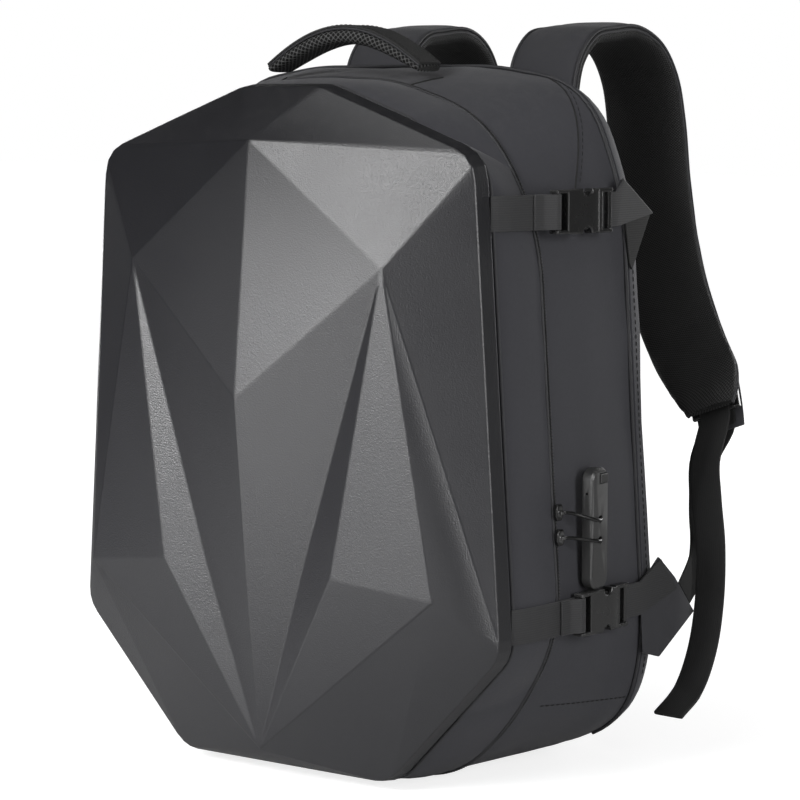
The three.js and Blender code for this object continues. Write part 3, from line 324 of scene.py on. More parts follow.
def netted(name, yarn, foam, cell, stretch, depth):
    material, tree, shader = begin(name)
    net = place_group(tree, air_mesh, **thread_place(tree), Cell=cell, Stretch=stretch)
    fuzz = tree.mixed(tree.noise(260, 3), yarn, tuple(0.6 * c for c in yarn[:3]) + (1,))
    tree.put(tree.mixed(net["Hole"], fuzz, foam), shader.inputs["Base Color"])
    tree.put(tree.math("MULTIPLY_ADD", net["Hole"], 0.25, 0.68), shader.inputs["Roughness"])
    bump(tree, shader, net["Height"], depth)
    return material


SHEEN = {"Sheen_Weight": 0.12, "Sheen_Roughness": 0.5}
GLOSS = {"Specular_IOR_Level": 0.9}
shell_plastic = moulded("shell_plastic", grey(0.013, 1.2), grey(0.1), 0.35, 1050, 0.0002, edge_wear_and_light=0.25, **GLOSS)
# The buckles' pale rims are a painted highlight as well as wear.
buckle_plastic = moulded("buckle_plastic", grey(0.016), grey(0.2), 0.27, 2200, 0.00002, edge_wear_and_light=1, **GLOSS)
lock_plastic = moulded("lock_plastic", grey(0.03), grey(0.12), 0.33, 1400, 0.00006, edge_wear_and_light=0.7, **GLOSS)
button_plastic = moulded("button_plastic", grey(0.03), grey(0.1), 0.3, 1800, 0.00002)
pull_metal = moulded("pull_metal", grey(0.05), grey(0.4), 0.2, 500, 0.00001, edge_wear_and_light=0.5, Metallic=0.85)
bag_cloth = woven("bag_cloth", grey(0.034, 1.18), grey(0.052, 1.18), 0.8, 0.00008, **SHEEN)
strap_cloth = woven("strap_cloth", grey(0.030, 1.15), grey(0.046, 1.15), 0.8, 0.00008, **SHEEN)
handle_cloth = woven("handle_cloth", grey(0.018), grey(0.032), 0.7, 0.00006, rough=0.65)
piping_cloth = woven("piping_cloth", grey(0.028, 1.1), grey(0.044, 1.1), 0.6, 0.00005, rough=0.6)
zip_cloth = woven("zip_cloth", grey(0.009), grey(0.018), 0.7, 0.00006, rough=0.75)
strap_webbing = ribbed("strap_webbing", grey(0.024, 1.05), grey(0.036, 1.05), 1.5, 0.0001, **SHEEN)
tail_webbing = ribbed("tail_webbing", grey(0.008), grey(0.013), 1.5, 0.0001)
coarse_net = netted("coarse_net", grey(0.12), grey(0.004), 4.2, 1.1, 0.0009)
fine_net = netted("fine_net", grey(0.034), grey(0.005), 2.1, 0.9, 0.0004)
thread = woven("thread", grey(0.006), grey(0.012), 0.3, 0.00002, rough=0.6)

# %% [markdown]
# The studio is a white floor, a white surround and large soft lamps. The upper right facet of the
# shell mirrors the facet lamp, which stands in front, a little to the left and above. The floor
# lamp lights the floor before the bag, which the facets that face down mirror. The room is dim, so
# the far left facets stay nearly black, and only the camera sees the floor and surround as white.

# %% Studio
def lamp(name, place, size, watts, aim=(0, 0, 0.25)):
    data = bpy.data.lights.new(name, "AREA")
    data.shape = "RECTANGLE"
    data.size, data.size_y = size
    data.energy = watts
    one = new_object(name, data)
    stand(one, place, Vector(aim) - Vector(place))
    one.visible_camera = False


lamp("key_lamp", (0.1, -1.8, 1.04), (1.3, 1.0), 4.5)
lamp("facet_lamp", (-0.17, -1.75, 1.24), (0.6, 0.5), 14)
lamp("low_lamp", (-0.62, -1.7, 0.32), (0.5, 0.4), 1.6)
lamp("floor_lamp", (-0.15, -0.98, 0.46), (0.6, 0.5), 18, aim=(-0.15, -0.98, 0))
lamp("right_lamp", (1.9, -0.5, 0.7), (0.7, 1.2), 16)
lamp("top_lamp", (0.0, -0.8, 2.0), (1.3, 1.0), 5)
lamp("rear_lamp", (0.3, 2.2, 0.6), (1.4, 1.0), 20)
lamp("left_lamp", (-1.7, 1.0, 0.6), (0.8, 1.0), 10)

WHITE = (1, 1, 1, 1)
ROOM_LIGHT = 0.05
FLOOR_HALF = 12.0
FLOOR_DROP = 0.0005
FLOOR_COLOUR = (0.42, 0.42, 0.42, 1)
SHADE_RADIUS, CLEAR_RADIUS = 0.2, 0.6
SHADE_GLOW = 0.8

world = bpy.data.worlds.new("surround")
world.use_nodes = True
room = Tree(world.node_tree)
seen = room.node("ShaderNodeLightPath").outputs["Is Camera Ray"]
backdrop = world.node_tree.nodes["Background"]
backdrop.inputs["Color"].default_value = WHITE
room.put(room.spread(seen, 0.0, 1.0, ROOM_LIGHT, 1.0, "LINEAR"), backdrop.inputs["Strength"])
bpy.context.scene.world = world
bpy.context.scene.view_settings.view_transform = "Standard"

floor_mesh = bpy.data.meshes.new("floor")
floor_corners = [(FLOOR_HALF * x, FLOOR_HALF * y, 0) for x, y in ((-1, -1), (1, -1), (1, 1), (-1, 1))]
floor_mesh.from_pydata(floor_corners, [], [(0, 1, 2, 3)])
floor = new_object("floor", floor_mesh)
floor.location.z = -FLOOR_DROP
floor_material, ground, floor_shader = begin(
    "floor_white", Base_Color=FLOOR_COLOUR, Roughness=0.9, Specular_IOR_Level=0.0, Emission_Color=WHITE
)
# The floor glows less within CLEAR_RADIUS of the bag's middle: painted shade round the bag, through which
# the lit floor's real shadow also shows.
distance = ground.node("ShaderNodeVectorMath", operation="LENGTH")
ground.put(ground.node("ShaderNodeNewGeometry").outputs["Position"], distance.inputs[0])
glow = ground.spread(distance.outputs["Value"], SHADE_RADIUS, CLEAR_RADIUS, SHADE_GLOW, 1.0, "LINEAR")
seen = ground.node("ShaderNodeLightPath").outputs["Is Camera Ray"]
ground.put(ground.math("MULTIPLY", glow, seen), floor_shader.inputs["Emission Strength"])
floor_mesh.materials.append(floor_material)

# %% [markdown]
# New pieces are written in the millimetres of the CAD source, with depth measured back from the
# shell's front edge. One function turns them into an object in the frame, with its faces outwards,
# its body and its material.

# %% Making pieces
SIDES = (("right", 1), ("left", -1))
MM = 0.001
REST_DEPTH = 115
SHARP = math.radians(38)


def row_place(p):
    return Vector((p[0], p[1] - REST_DEPTH, p[2])) * MM


def mark_points(mesh, marks):
    for index, attribute in enumerate(("along", "across")):
        layer = mesh.attributes.new(attribute, "FLOAT", "POINT")
        layer.data.foreach_set("value", [mark[index] for mark in marks])


def add_piece(name, mesh_data, materials, replaces=()):
    """mesh_data is points, faces, for each point its millimetres along and across, and, where a
    piece has two materials, the number of each face's material."""
    points, faces, marks, *face_materials = mesh_data
    mesh = bpy.data.meshes.new(name)
    mesh.from_pydata([row_place(p) for p in points], [], faces)
    mark_points(mesh, marks)
    for material in materials:
        mesh.materials.append(material)
    if face_materials:
        mesh.polygons.foreach_set("material_index", face_materials[0])
    shape = bmesh.new()
    shape.from_mesh(mesh)
    bmesh.ops.recalc_face_normals(shape, faces=shape.faces)
    shape.to_mesh(mesh)
    shape.free()
    mesh.shade_smooth()
    mesh.set_sharp_from_angle(angle=SHARP)
    one = new_object(name, mesh)
    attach(one, "pack")
    if replaces:
        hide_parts(*replaces)
    return one


def loft(rings, loop=False):
    """Skins closed rings of points. Loop joins the last ring to the first, otherwise caps close both
    ends."""
    count = len(rings[0])
    points = [Vector(p) for ring in rings for p in ring]
    marks = []
    middles = [sum((Vector(p) for p in ring), Vector()) / count for ring in rings]
    along = 0.0
    for k, ring in enumerate(rings):
        along += (middles[k] - middles[k - 1]).length if k else 0.0
        across = 0.0
        for i in range(count):
            across += (Vector(ring[i]) - Vector(ring[i - 1])).length if i else 0.0
            marks.append((along, across))
    faces = []
    for k in range(len(rings) if loop else len(rings) - 1):
        here, there = k * count, ((k + 1) % len(rings)) * count
        for i in range(count):
            j = (i + 1) % count
            faces.append((here + i, here + j, there + j, there + i))
    if not loop:
        faces.append(tuple(range(count)))
        last = (len(rings) - 1) * count
        faces.append(tuple(last + i for i in reversed(range(count))))
    return points, faces, marks


def joined(parts):
    """Several point, face and mark lists as one mesh."""
    points, faces, marks = [], [], []
    for part_points, part_faces, part_marks in parts:
        base = len(points)
        points += part_points
        marks += part_marks
        faces += [tuple(base + v for v in face) for face in part_faces]
    return points, faces, marks


def catmull(points, steps):
    """A smooth line through points, with equally many steps between each two of them."""
    points = [Vector(p) for p in points]
    line = []
    for k, (p1, p2) in enumerate(zip(points, points[1:])):
        p0 = points[k - 1] if k else 2 * p1 - p2
        p3 = points[k + 2] if k + 2 < len(points) else 2 * p2 - p1
        d0, d1, d2 = (max((b - a).length, 1e-6) ** 0.5 for a, b in ((p0, p1), (p1, p2), (p2, p3)))
        m1 = ((p1 - p0) / d0 - (p2 - p0) / (d0 + d1) + (p2 - p1) / d1) * d1
        m2 = ((p2 - p1) / d1 - (p3 - p1) / (d1 + d2) + (p3 - p2) / d2) * d1
        for step in range(steps):
            s = step / steps
            h00, h10 = 2 * s**3 - 3 * s**2 + 1, s**3 - 2 * s**2 + s
            h01, h11 = 3 * s**2 - 2 * s**3, s**3 - s**2
            line.append(h00 * p1 + h10 * m1 + h01 * p2 + h11 * m2)
    return [*line, points[-1].copy()]


def superellipse(count, squareness):
    """A flattened round section, as shares of half its width and half its thickness."""
    section = []
    for i in range(count):
        angle = 2 * math.pi * (i + 0.5) / count
        both = (math.cos(angle), math.sin(angle))
        section.append(tuple(math.copysign(abs(value) ** (2 / squareness), value) for value in both))
    return section


def tangents(line, closed=False):
    total = len(line)
    found = []
    for i in range(total):
        before = line[i - 1] if closed or i else line[0]
        after = line[(i + 1) % total] if closed or i < total - 1 else line[-1]
        found.append((after - before).normalized())
    return found


CORD_SIDES = 8


def cord_mesh(line, radius, outward, closed=False):
    """A thin round cord along a line. Outward gives the direction that keeps its section upright."""
    rings = []
    for p, along in zip(line, tangents(line, closed)):
        up = outward(p)
        up = (up - along * up.dot(along)).normalized()
        beside = along.cross(up)
        rings.append([
            p + (up * math.cos(a) + beside * math.sin(a)) * radius
            for a in (2 * math.pi * i / CORD_SIDES for i in range(CORD_SIDES))
        ])
    return loft(rings, loop=closed)


def between(one, other, share):
    return one + (other - one) * share


def on_side(sign, station):
    """A station's vectors, mirrored to the left where the sign is -1."""
    return tuple(Vector((sign * v.x, v.y, v.z)) for v in station)


# %% [markdown]
# Sewing shows as short raised dashes of thread. Each is a small spindle a hair above the cloth, and
# all the dashes of one seam make one object.

# %% Stitches
STITCH = 3.4
STITCH_GAP = 1.5
THREAD_RADIUS = 0.32
THREAD_SIDES = 6
THREAD_FLATNESS = 1.4
SPINDLE = ((0, 0.35), (0.2, 1), (0.8, 1), (1, 0.35))


def stitch_mesh(line, normals, length=STITCH, gap=STITCH_GAP, radius=THREAD_RADIUS):
    """Dashes along a line of points, each with the direction that points out of the cloth."""
    parts = []
    distance = [0.0]
    for a, b in zip(line, line[1:]):
        distance.append(distance[-1] + (b - a).length)

    def read(at):
        k = next((i for i, d in enumerate(distance[1:]) if d >= at), len(distance) - 2)
        share = (at - distance[k]) / max(distance[k + 1] - distance[k], 1e-6)
        return line[k].lerp(line[k + 1], share), normals[k].lerp(normals[k + 1], share).normalized()

    at = gap
    while at + length < distance[-1]:
        (start, up), (end, _) = read(at), read(at + length)
        along = (end - start).normalized()
        beside = along.cross(up).normalized()
        rings = []
        for share, size in SPINDLE:
            middle = start.lerp(end, share) + up * radius * (size - 0.3)
            rings.append([
                middle + (up * math.cos(a) + beside * math.sin(a) * THREAD_FLATNESS) * radius * size
                for a in (2 * math.pi * i / THREAD_SIDES for i in range(THREAD_SIDES))
            ])
        parts.append(loft(rings))
        at += length + gap
    return joined(parts)


def add_stitches(name, rows, **kind):
    dashes = joined([stitch_mesh(line, normals, **kind) for line, normals in rows])
    add_piece(name, dashes, [thread])


# %% [markdown]
# The bag's outlines, seen from the front, have thirteen corners that are rounded off. Every outline
# has equally many points, so one can be mixed with the next and skinned without a twist.

# %% Outlines of the bag
BAG_HEIGHT = 480
BAG_HALF_WIDTH = 184
SHELL_TOP = 466
SHELL_HALF_WIDTH = 176.2
SHELL_RIM_DEPTH = 13
ZIP_DEPTH = 61
ZIP_WIDTH = 4.4
SEAM_DEPTH = 165
BACK_DEPTH = 212
REAR_CORNER_RADIUS = 44
LEAN_LEVEL = 107
SEAM_LEAN = 0.06
BACK_LEAN = 0.07
GAP = 0.4
WALL = 2.6
CORNER_STEPS = 8
STRAIGHT_STEPS = 8
SOFT_CORNER = 200
SHELL_CORNER = 24
BAG_MIDDLE = 230
OUTLINES = {
    "rim": (1, (0.187, 1), (0.533, 0.953), (0.88, 0.905), (1, 0.218), (0.748, 0.117), (0.496, 0.016)),
    "zip": (
        0.984, (0.283, 0.979), (0.674, 0.929), (0.895, 0.786), (0.995, 0.225), (0.793, 0.092), (0.543, 0),
    ),
    "waist": (0.996, (0.348, 0.993), (0.75, 0.954), (0.935, 0.8), (1.005, 0.204), (0.87, 0.075), (0.57, 0)),
    "seam": (1, (0.413, 1), (0.815, 0.975), (0.957, 0.817), (1, 0.175), (0.913, 0.0625), (0.587, 0)),
}


def outline_of(name, half_width, height, radius):
    """Rounded outline as (x, z) pairs, clockwise from the top centre as seen from the front."""
    crown, *half = OUTLINES[name]
    right = [Vector((x * half_width, z * height)) for x, z in half]
    corners = [Vector((0, crown * height)), *right, *[Vector((-p.x, p.y)) for p in reversed(right)]]
    total = len(corners)
    curves = []
    for i, corner in enumerate(corners):
        inward = corners[i - 1] - corner
        outward = corners[(i + 1) % total] - corner
        turn = math.pi - inward.angle(outward)
        span = min(max(radius * math.tan(turn / 2), 1), inward.length * 0.49, outward.length * 0.49)
        start, end = corner + inward.normalized() * span, corner + outward.normalized() * span
        curve = []
        for step in range(CORNER_STEPS + 1):
            s = step / CORNER_STEPS
            curve.append(start * (1 - s) ** 2 + corner * 2 * s * (1 - s) + end * s**2)
        curves.append(curve)
    outline = []
    for i, curve in enumerate(curves):
        following = curves[(i + 1) % total][0]
        outline += curve
        outline += [curve[-1].lerp(following, s / STRAIGHT_STEPS) for s in range(1, STRAIGHT_STEPS)]
    return outline


def inset(outline, distance):
    """Moves an outline inwards, or outwards where the distance is negative."""
    total = len(outline)
    moved = []
    for i, p in enumerate(outline):
        along = (outline[(i + 1) % total] - outline[i - 1]).normalized()
        moved.append(Vector((p.x + along.y * distance, p.y - along.x * distance)))
    return moved


def mix(one, other, share):
    return [a.lerp(b, share) for a, b in zip(one, other)]


def placed(outline, depth, lean=0.0):
    return [Vector((p.x, depth + lean * (LEAN_LEVEL - p.y), max(p.y, 0.0))) for p in outline]


def above(ring, level):
    return [Vector((p.x, p.y, max(p.z, level))) for p in ring]


rim = outline_of("rim", SHELL_HALF_WIDTH, SHELL_TOP, SHELL_CORNER)
zip_outline, waist_outline, seam_outline = (
    outline_of(name, BAG_HALF_WIDTH, BAG_HEIGHT, SOFT_CORNER) for name in ("zip", "waist", "seam")
)
print("outline points", len(rim))

# %% [markdown]
# The shell is one moulding. Its CAD solid already has the facets, so its copy only gets what a
# mould gives for free: every crease is rounded by a narrow bevel, which catches a thin highlight.

# %% Rounding CAD pieces
FLAT_ANGLE = math.radians(0.3)
SAME_POINT = 2e-6
FAN_AREA = 0.00033
FAN_LENGTH = 0.045


def rounded_copy(node, material, width, angle, segments=3, body="pack"):
    """A copy of a CAD node with its flats joined and its edges rounded by a bevel.
    The slim triangles that turn round the shell's corners stay smooth, so they get no bevel."""
    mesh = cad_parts[node].data.copy()
    mesh.name = node + "_finished"
    shape = bmesh.new()
    shape.from_mesh(mesh)
    bmesh.ops.remove_doubles(shape, verts=shape.verts, dist=SAME_POINT)
    bmesh.ops.dissolve_limit(shape, angle_limit=FLAT_ANGLE, verts=shape.verts, edges=shape.edges)
    weight = shape.edges.layers.float.new("bevel_weight_edge")
    for edge in shape.edges:
        if len(edge.link_faces) == 2 and edge.calc_face_angle() > math.radians(angle):
            thin = min(face.calc_area() for face in edge.link_faces) < FAN_AREA
            edge[weight] = 0 if thin and edge.calc_length() > FAN_LENGTH else 1
    shape.to_mesh(mesh)
    shape.free()
    mesh.materials.clear()
    mesh.materials.append(material)
    mark_points(mesh, [(v.co.y / MM, v.co.z / MM) for v in mesh.vertices])
    mesh.shade_smooth()
    one = new_object(node + "_finished", mesh)
    bevel = one.modifiers.new("rounded_edges", "BEVEL")
    bevel.width = width
    bevel.segments = segments
    bevel.limit_method = "WEIGHT"
    weighted = one.modifiers.new("flat_facets", "WEIGHTED_NORMAL")
    weighted.keep_sharp = False
    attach(one, body)
    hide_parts(node)
    return one


rounded_copy("front_shell", shell_plastic, 0.0016, 6.5)

# %% [markdown]
# The gusset is the padded fabric wall between the shell's rim and the zip. Its rows puff out a
# little, with a slow noise for cloth over foam, and a piping cord closes its front edge.

# %% Gusset
def outwards(p):
    return Vector((p.x, 0, p.z - BAG_MIDDLE)).normalized()


def uneven(p, size, height):
    """A slow, even noise in millimetres for cloth that isn't quite flat."""
    return noise.noise(Vector(p) / size) * height


gusset_front = SHELL_RIM_DEPTH + GAP
gusset_back = ZIP_DEPTH - ZIP_WIDTH / 2 - GAP
GUSSET_WALL = 4
GUSSET_ROWS = (
    (0, -2), (0.06, -0.3), (0.12, 0.2), (0.25, 1.2), (0.4, 1.6), (0.6, 1.6), (0.8, 1.1), (0.93, 0.3), (1, 0),
)


def gusset_ring(share, out, wall):
    depth = between(gusset_front, gusset_back, share)
    ring = placed(inset(mix(rim, zip_outline, share), wall - out), depth)
    if wall:
        return ring
    return [p + outwards(p) * uneven(p, 34, 0.5) for p in ring]


gusset_rings = [gusset_ring(share, out, 0) for share, out in GUSSET_ROWS]
gusset_rings += [gusset_ring(share, 0, GUSSET_WALL) for share in (1, 0.5, 0)]
gusset_rings = [above(ring, 0) for ring in gusset_rings]
add_piece("gusset_cloth", loft(gusset_rings, loop=True), [bag_cloth], ["front_gusset"])


def ring_cord(name, outline, depth, radius, material, out):
    line = above(placed(inset(outline, -out), depth), radius)
    add_piece(name, cord_mesh(line, radius, outwards, closed=True), [material])


ring_cord("gusset_piping", mix(rim, zip_outline, 0.1), gusset_front + 3.2, 1.1, piping_cloth, out=0.1)

# %% [markdown]
# The main zip lies under a flap. What shows is the flap's rolled edge and the dark tape and coil
# beside it, so the zip is a tape, a row of small coil turns and one thin cord on each side.

# %% Main zip
def zip_tape():
    half = ZIP_WIDTH / 2
    outer, inner = inset(zip_outline, -0.3), inset(zip_outline, WALL)
    rings = [placed(outer, ZIP_DEPTH - half), placed(outer, ZIP_DEPTH + half)]
    rings += [placed(inner, ZIP_DEPTH + half), placed(inner, ZIP_DEPTH - half)]
    return loft(rings, loop=True)


add_piece("zip_tape", zip_tape(), [zip_cloth], ["main_zip"])
ring_cord("zip_flap_edge", zip_outline, ZIP_DEPTH - 1.5, 1.0, piping_cloth, out=0.2)
ring_cord("zip_rear_edge", zip_outline, ZIP_DEPTH + 1.9, 0.6, bag_cloth, out=0.3)

COIL_PITCH = 2.2
COIL_TURN = 1.5
BASE_GAP = 60
coil_line = placed(inset(zip_outline, -0.5), ZIP_DEPTH + 0.6)
coil_line = [p for p in coil_line if p.z > 1.5]
start = next(i for i, p in enumerate(coil_line) if (p - coil_line[i - 1]).length > BASE_GAP)
coil_line = coil_line[start:] + coil_line[:start]
coil_normals = [outwards(p) for p in coil_line]
coil = stitch_mesh(coil_line, coil_normals, length=COIL_TURN, gap=COIL_PITCH - COIL_TURN, radius=0.55)
add_piece("zip_coil", coil, [button_plastic])

# %% [markdown]
# The bag is a tub of coated fabric: its side wall runs back to the rear seam and then turns over a
# round corner to the flat back. Cloth pulls in at each seam and stands out between them, so its
# rows follow that, and noise adds the soft dents that the photograph shows.

# %% Bag body
body_front = ZIP_DEPTH + ZIP_WIDTH / 2 + GAP
half_depth = (ZIP_DEPTH + SEAM_DEPTH) / 2
BODY_STEPS = 6
CORNER_ANGLE_STEP = 9


def body_rings(wall):
    keys = [
        (zip_outline, body_front, 0.0),
        (waist_outline, half_depth, SEAM_LEAN / 2),
        (mix(waist_outline, seam_outline, 0.7), between(half_depth, SEAM_DEPTH, 0.6), SEAM_LEAN * 0.8),
        (seam_outline, SEAM_DEPTH, SEAM_LEAN),
    ]
    rings = []
    for (one, depth, lean), (other, next_depth, next_lean) in zip(keys, keys[1:]):
        for step in range(BODY_STEPS):
            s = step / BODY_STEPS
            outline = inset(mix(one, other, s), wall)
            rings.append(placed(outline, between(depth, next_depth, s), between(lean, next_lean, s)))
    for angle in range(0, 91, CORNER_ANGLE_STEP):
        sine, cosine = math.sin(math.radians(angle)), math.cos(math.radians(angle))
        depth = between(SEAM_DEPTH, BACK_DEPTH - wall, sine)
        outline = inset(seam_outline, between(wall, REAR_CORNER_RADIUS, 1 - cosine))
        rings.append(placed(outline, depth, between(SEAM_LEAN, BACK_LEAN, sine)))
    return rings


def dented(p):
    """Cloth is drawn in by 0.9 mm at a seam, and is soft and uneven away from it and from the base."""
    from_seam = min(abs(p.y - SEAM_DEPTH) / 10, abs(p.y - body_front) / 8, 1)
    hollow = -0.9 * (1 - from_seam)
    soft = uneven(p, 55, 1.5) + uneven(p, 21, 0.55)
    from_base = min(p.z / 25, 1)
    return p + outwards(p) * (hollow + (soft - 0.4) * from_seam) * from_base


inner = [above(ring, WALL) for ring in body_rings(WALL)]
outer = [above([dented(p) for p in ring], 0) for ring in body_rings(0)]
body_mesh = loft([*reversed(inner), *outer])
add_piece("bag_skin", body_mesh, [bag_cloth], ["bag_body"])

OUTSIDE = 400
surface = BVHTree.FromPolygons([Vector(p) for p in body_mesh[0]], body_mesh[1])


def skin_hit(start, direction):
    """Where a ray meets the bag's skin, and the outward direction there."""
    place, normal, _, _ = surface.ray_cast(start, direction)
    return place, (-normal if normal.dot(direction) > 0 else normal)


# %% [markdown]
# A welt runs round the rear seam: two cords with the seam between them. Rows of stitches lie behind
# it, across each side near the floor, and beside the seam that arches over the top.

# %% Welts and seams
WELT_FOOT = 16.6


def upright_part(outline):
    """The part of an outline above the base, in order from one foot to the other."""
    total = len(outline)
    first = max(i for i in range(total) if outline[i].y < WELT_FOOT) + 1
    ordered = [outline[(first + i) % total] for i in range(total)]
    return [p for p in ordered if p.y >= WELT_FOOT]


def welt(name, depth, radius, out, material, replaces=()):
    line = placed(upright_part(inset(seam_outline, -out)), depth, SEAM_LEAN)
    add_piece(name, cord_mesh(line, radius, outwards), [material], replaces)


welt("rear_welt_front", SEAM_DEPTH - 1.7, 1.3, 0.1, piping_cloth, ["rear_piping"])
welt("rear_welt_back", SEAM_DEPTH + 2.2, 0.9, -0.2, bag_cloth)


def mirrored_rows(rows):
    flip = Vector((-1, 1, 1))
    return rows + [([p * flip for p in line], [n * flip for n in normals]) for line, normals in rows]


def side_row(places):
    hits = [skin_hit(Vector((OUTSIDE, y, z)), Vector((-1, 0, 0))) for y, z in places]
    return [p + n * 0.15 for p, n in hits], [n for _, n in hits]


def arc_row(behind, widest):
    """A row over the bag's top that runs forward down each side, cast towards the bag's middle."""
    line, normals = [], []
    for degrees in range(-widest, widest + 1, 2):
        turn = math.radians(degrees)
        outward = Vector((math.sin(turn), 0, math.cos(turn)))
        depth = ARC_REAR + behind - ARC_SWEEP * (abs(degrees) / ARC_END) ** 2.2
        place, normal = skin_hit(Vector((0, depth, ARC_MIDDLE)) + outward * OUTSIDE, -outward)
        line.append(place + outward * 0.1)
        normals.append(normal)
    return line, normals


ARC_MIDDLE = 300
ARC_REAR = 157
ARC_SWEEP = 53
ARC_END = 60
SEAM_RADIUS = 0.6
arc_line, _ = arc_row(0, ARC_END)
add_piece("top_seam", cord_mesh(arc_line, SEAM_RADIUS, outwards), [zip_cloth])
add_stitches("top_seam_stitches", [arc_row(4, ARC_END - 2)], radius=0.2)

rear_places = [(SEAM_DEPTH + 10.5 + SEAM_LEAN * (LEAN_LEVEL - z), z) for z in range(60, 391, 6)]
bottom_places = [(y, 54 - (y - 80) * 0.08) for y in range(78, 176, 5)]
add_stitches("side_seam_stitches", mirrored_rows([side_row(rear_places), side_row(bottom_places)]))

# %% [markdown]
# The panel that rests on the wearer's back is foam under open mesh, sewn down in channels. Its
# height is a smooth function of the place on the panel: a crowned edge, an upright hollow down the
# middle for air, and cross channels.

# %% Back panel
PANEL_THICKNESS = 10
CHANNEL_LEVELS = (150, 240, 330)
CHANNEL_SLOPE = 0.18
CHANNEL_WIDTH, HOLLOW_WIDTH = 6, 13
panel_outline = inset(seam_outline, REAR_CORNER_RADIUS + 3)
panel_middle = Vector((0, 240))


def panel_height(x, z, inner_share):
    edge = min(inner_share / 0.16, 1)
    crown = math.sin(edge * math.pi / 2) ** 0.7
    middle = 1 - 0.72 * math.exp(-((x / HOLLOW_WIDTH) ** 2))
    crossing = 1.0
    for level in CHANNEL_LEVELS:
        slope = level - abs(x) * CHANNEL_SLOPE
        crossing -= 0.62 * math.exp(-(((z - slope) / CHANNEL_WIDTH) ** 2))
    return PANEL_THICKNESS * crown * max(middle, 0.2) * max(crossing, 0.25)


def panel_mesh():
    shares = [0, 0.02, 0.05, 0.09, 0.14, 0.2] + [0.2 + 0.05 * k for k in range(1, 16)] + [0.985]
    rings = []
    for share in shares:
        flat = [p.lerp(panel_middle, share) for p in panel_outline]
        ring = placed(flat, BACK_DEPTH + GAP, BACK_LEAN)
        for p in ring:
            p.y += panel_height(p.x, p.z, share)
        rings.append(ring)
    base = placed(panel_outline, BACK_DEPTH + GAP, BACK_LEAN)
    points, faces, _ = loft([base, *rings])
    return points, faces, [(p.z, p.x) for p in points]


back_pad = add_piece("back_pad", panel_mesh(), [fine_net], ["back_panel"])
panel_cord = placed(inset(panel_outline, -1.0), BACK_DEPTH + GAP + 1.0, BACK_LEAN)
add_piece("back_pad_binding", cord_mesh(panel_cord, 1.4, outwards, closed=True), [piping_cloth])

# %% [markdown]
# The grab handle is an arch of foam under coarse mesh. A strip of smooth cloth lies along its top,
# with a thin cord along each edge, and the ends go down to the bag's top.

# %% Grab handle
HANDLE_DEPTH = 80
HANDLE_HALF_SPAN = 63
HANDLE_TOP = 508
HANDLE_WIDTH = 27
PAD_THICKNESS = 11
PAD_END_THICKNESS = 5
PAD_TAPER = 3
COVER_THICKNESS = 1.8
COVER_WIDTH = 25
HANDLE_STEPS = 56
HANDLE_SEAM_START, HANDLE_SEAM_END = (58, 66), (67, 92)
SEAM_STEPS = 8


def pad_thickness(share):
    """The pad thins towards its two ends. The share runs from 0 to 1 along the arch."""
    return between(PAD_THICKNESS, PAD_END_THICKNESS, abs(2 * share - 1) ** PAD_TAPER)


handle_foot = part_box("handle_pad")[0].z / MM + PAD_END_THICKNESS / 2


def handle_stations(lift):
    """Middle, width direction and normal along the arch, lifted off the pad's middle."""
    crest = HANDLE_TOP - COVER_THICKNESS - GAP - PAD_THICKNESS / 2
    steepness = (crest - handle_foot) * math.pi / (2 * HANDLE_HALF_SPAN)
    stations = []
    for i in range(HANDLE_STEPS + 1):
        share = i / HANDLE_STEPS
        turn = (share - 0.5) * math.pi
        normal = Vector((steepness * math.sin(turn), 0, 1)).normalized()
        height = between(handle_foot, crest, math.cos(turn))
        at = Vector((HANDLE_HALF_SPAN * (2 * share - 1), HANDLE_DEPTH, height))
        stations.append((at + normal * lift(share), Vector((0, 1, 0)), normal))
    return stations


def sweep(stations, section, width, thickness):
    """Skins a section along stations of centre, width direction and normal."""
    rings = []
    for k, (at, wide, normal) in enumerate(stations):
        share = k / (len(stations) - 1)
        broad = width(share) if callable(width) else width
        thick = thickness(share) if callable(thickness) else thickness
        rings.append([at + wide * (x * broad / 2) + normal * (y * thick / 2) for x, y in section])
    return loft(rings)


PAD_SECTION = superellipse(28, 3.0)
STRIP_SECTION = superellipse(16, 7.0)
pad_mesh = sweep(handle_stations(lambda share: 0), PAD_SECTION, HANDLE_WIDTH, pad_thickness)
handle_foam = add_piece("handle_foam", pad_mesh, [coarse_net], ["handle_pad"])


def cover_lift(share):
    return (pad_thickness(share) + COVER_THICKNESS) / 2 + GAP


cover_mesh = sweep(handle_stations(cover_lift), STRIP_SECTION, COVER_WIDTH, COVER_THICKNESS)
add_piece("handle_strip", cover_mesh, [handle_cloth], ["handle_cover"])


UP = Vector((0, 0, 1))


def top_point(x, y):
    """The point of the bag's top at a place, found from above."""
    return skin_hit(Vector((x, y, BAG_HEIGHT + OUTSIDE)), -UP)[0] + UP * 0.1


for side_name, sign in SIDES:
    line = []
    for step in range(SEAM_STEPS + 1):
        x, y = (between(*ends, step / SEAM_STEPS) for ends in zip(HANDLE_SEAM_START, HANDLE_SEAM_END))
        line.append(top_point(sign * x, y))
    seam = cord_mesh(line, SEAM_RADIUS, lambda p: UP)
    add_piece(f"handle_seam_{side_name}", seam, [zip_cloth])


def handle_edge(side):
    stations = handle_stations(lambda share: pad_thickness(share) / 2 - 0.4)
    line = [at + wide * side * (HANDLE_WIDTH / 2 - 1.6) for at, wide, _ in stations]
    return cord_mesh(line, 0.9, lambda p: UP + outwards(p))


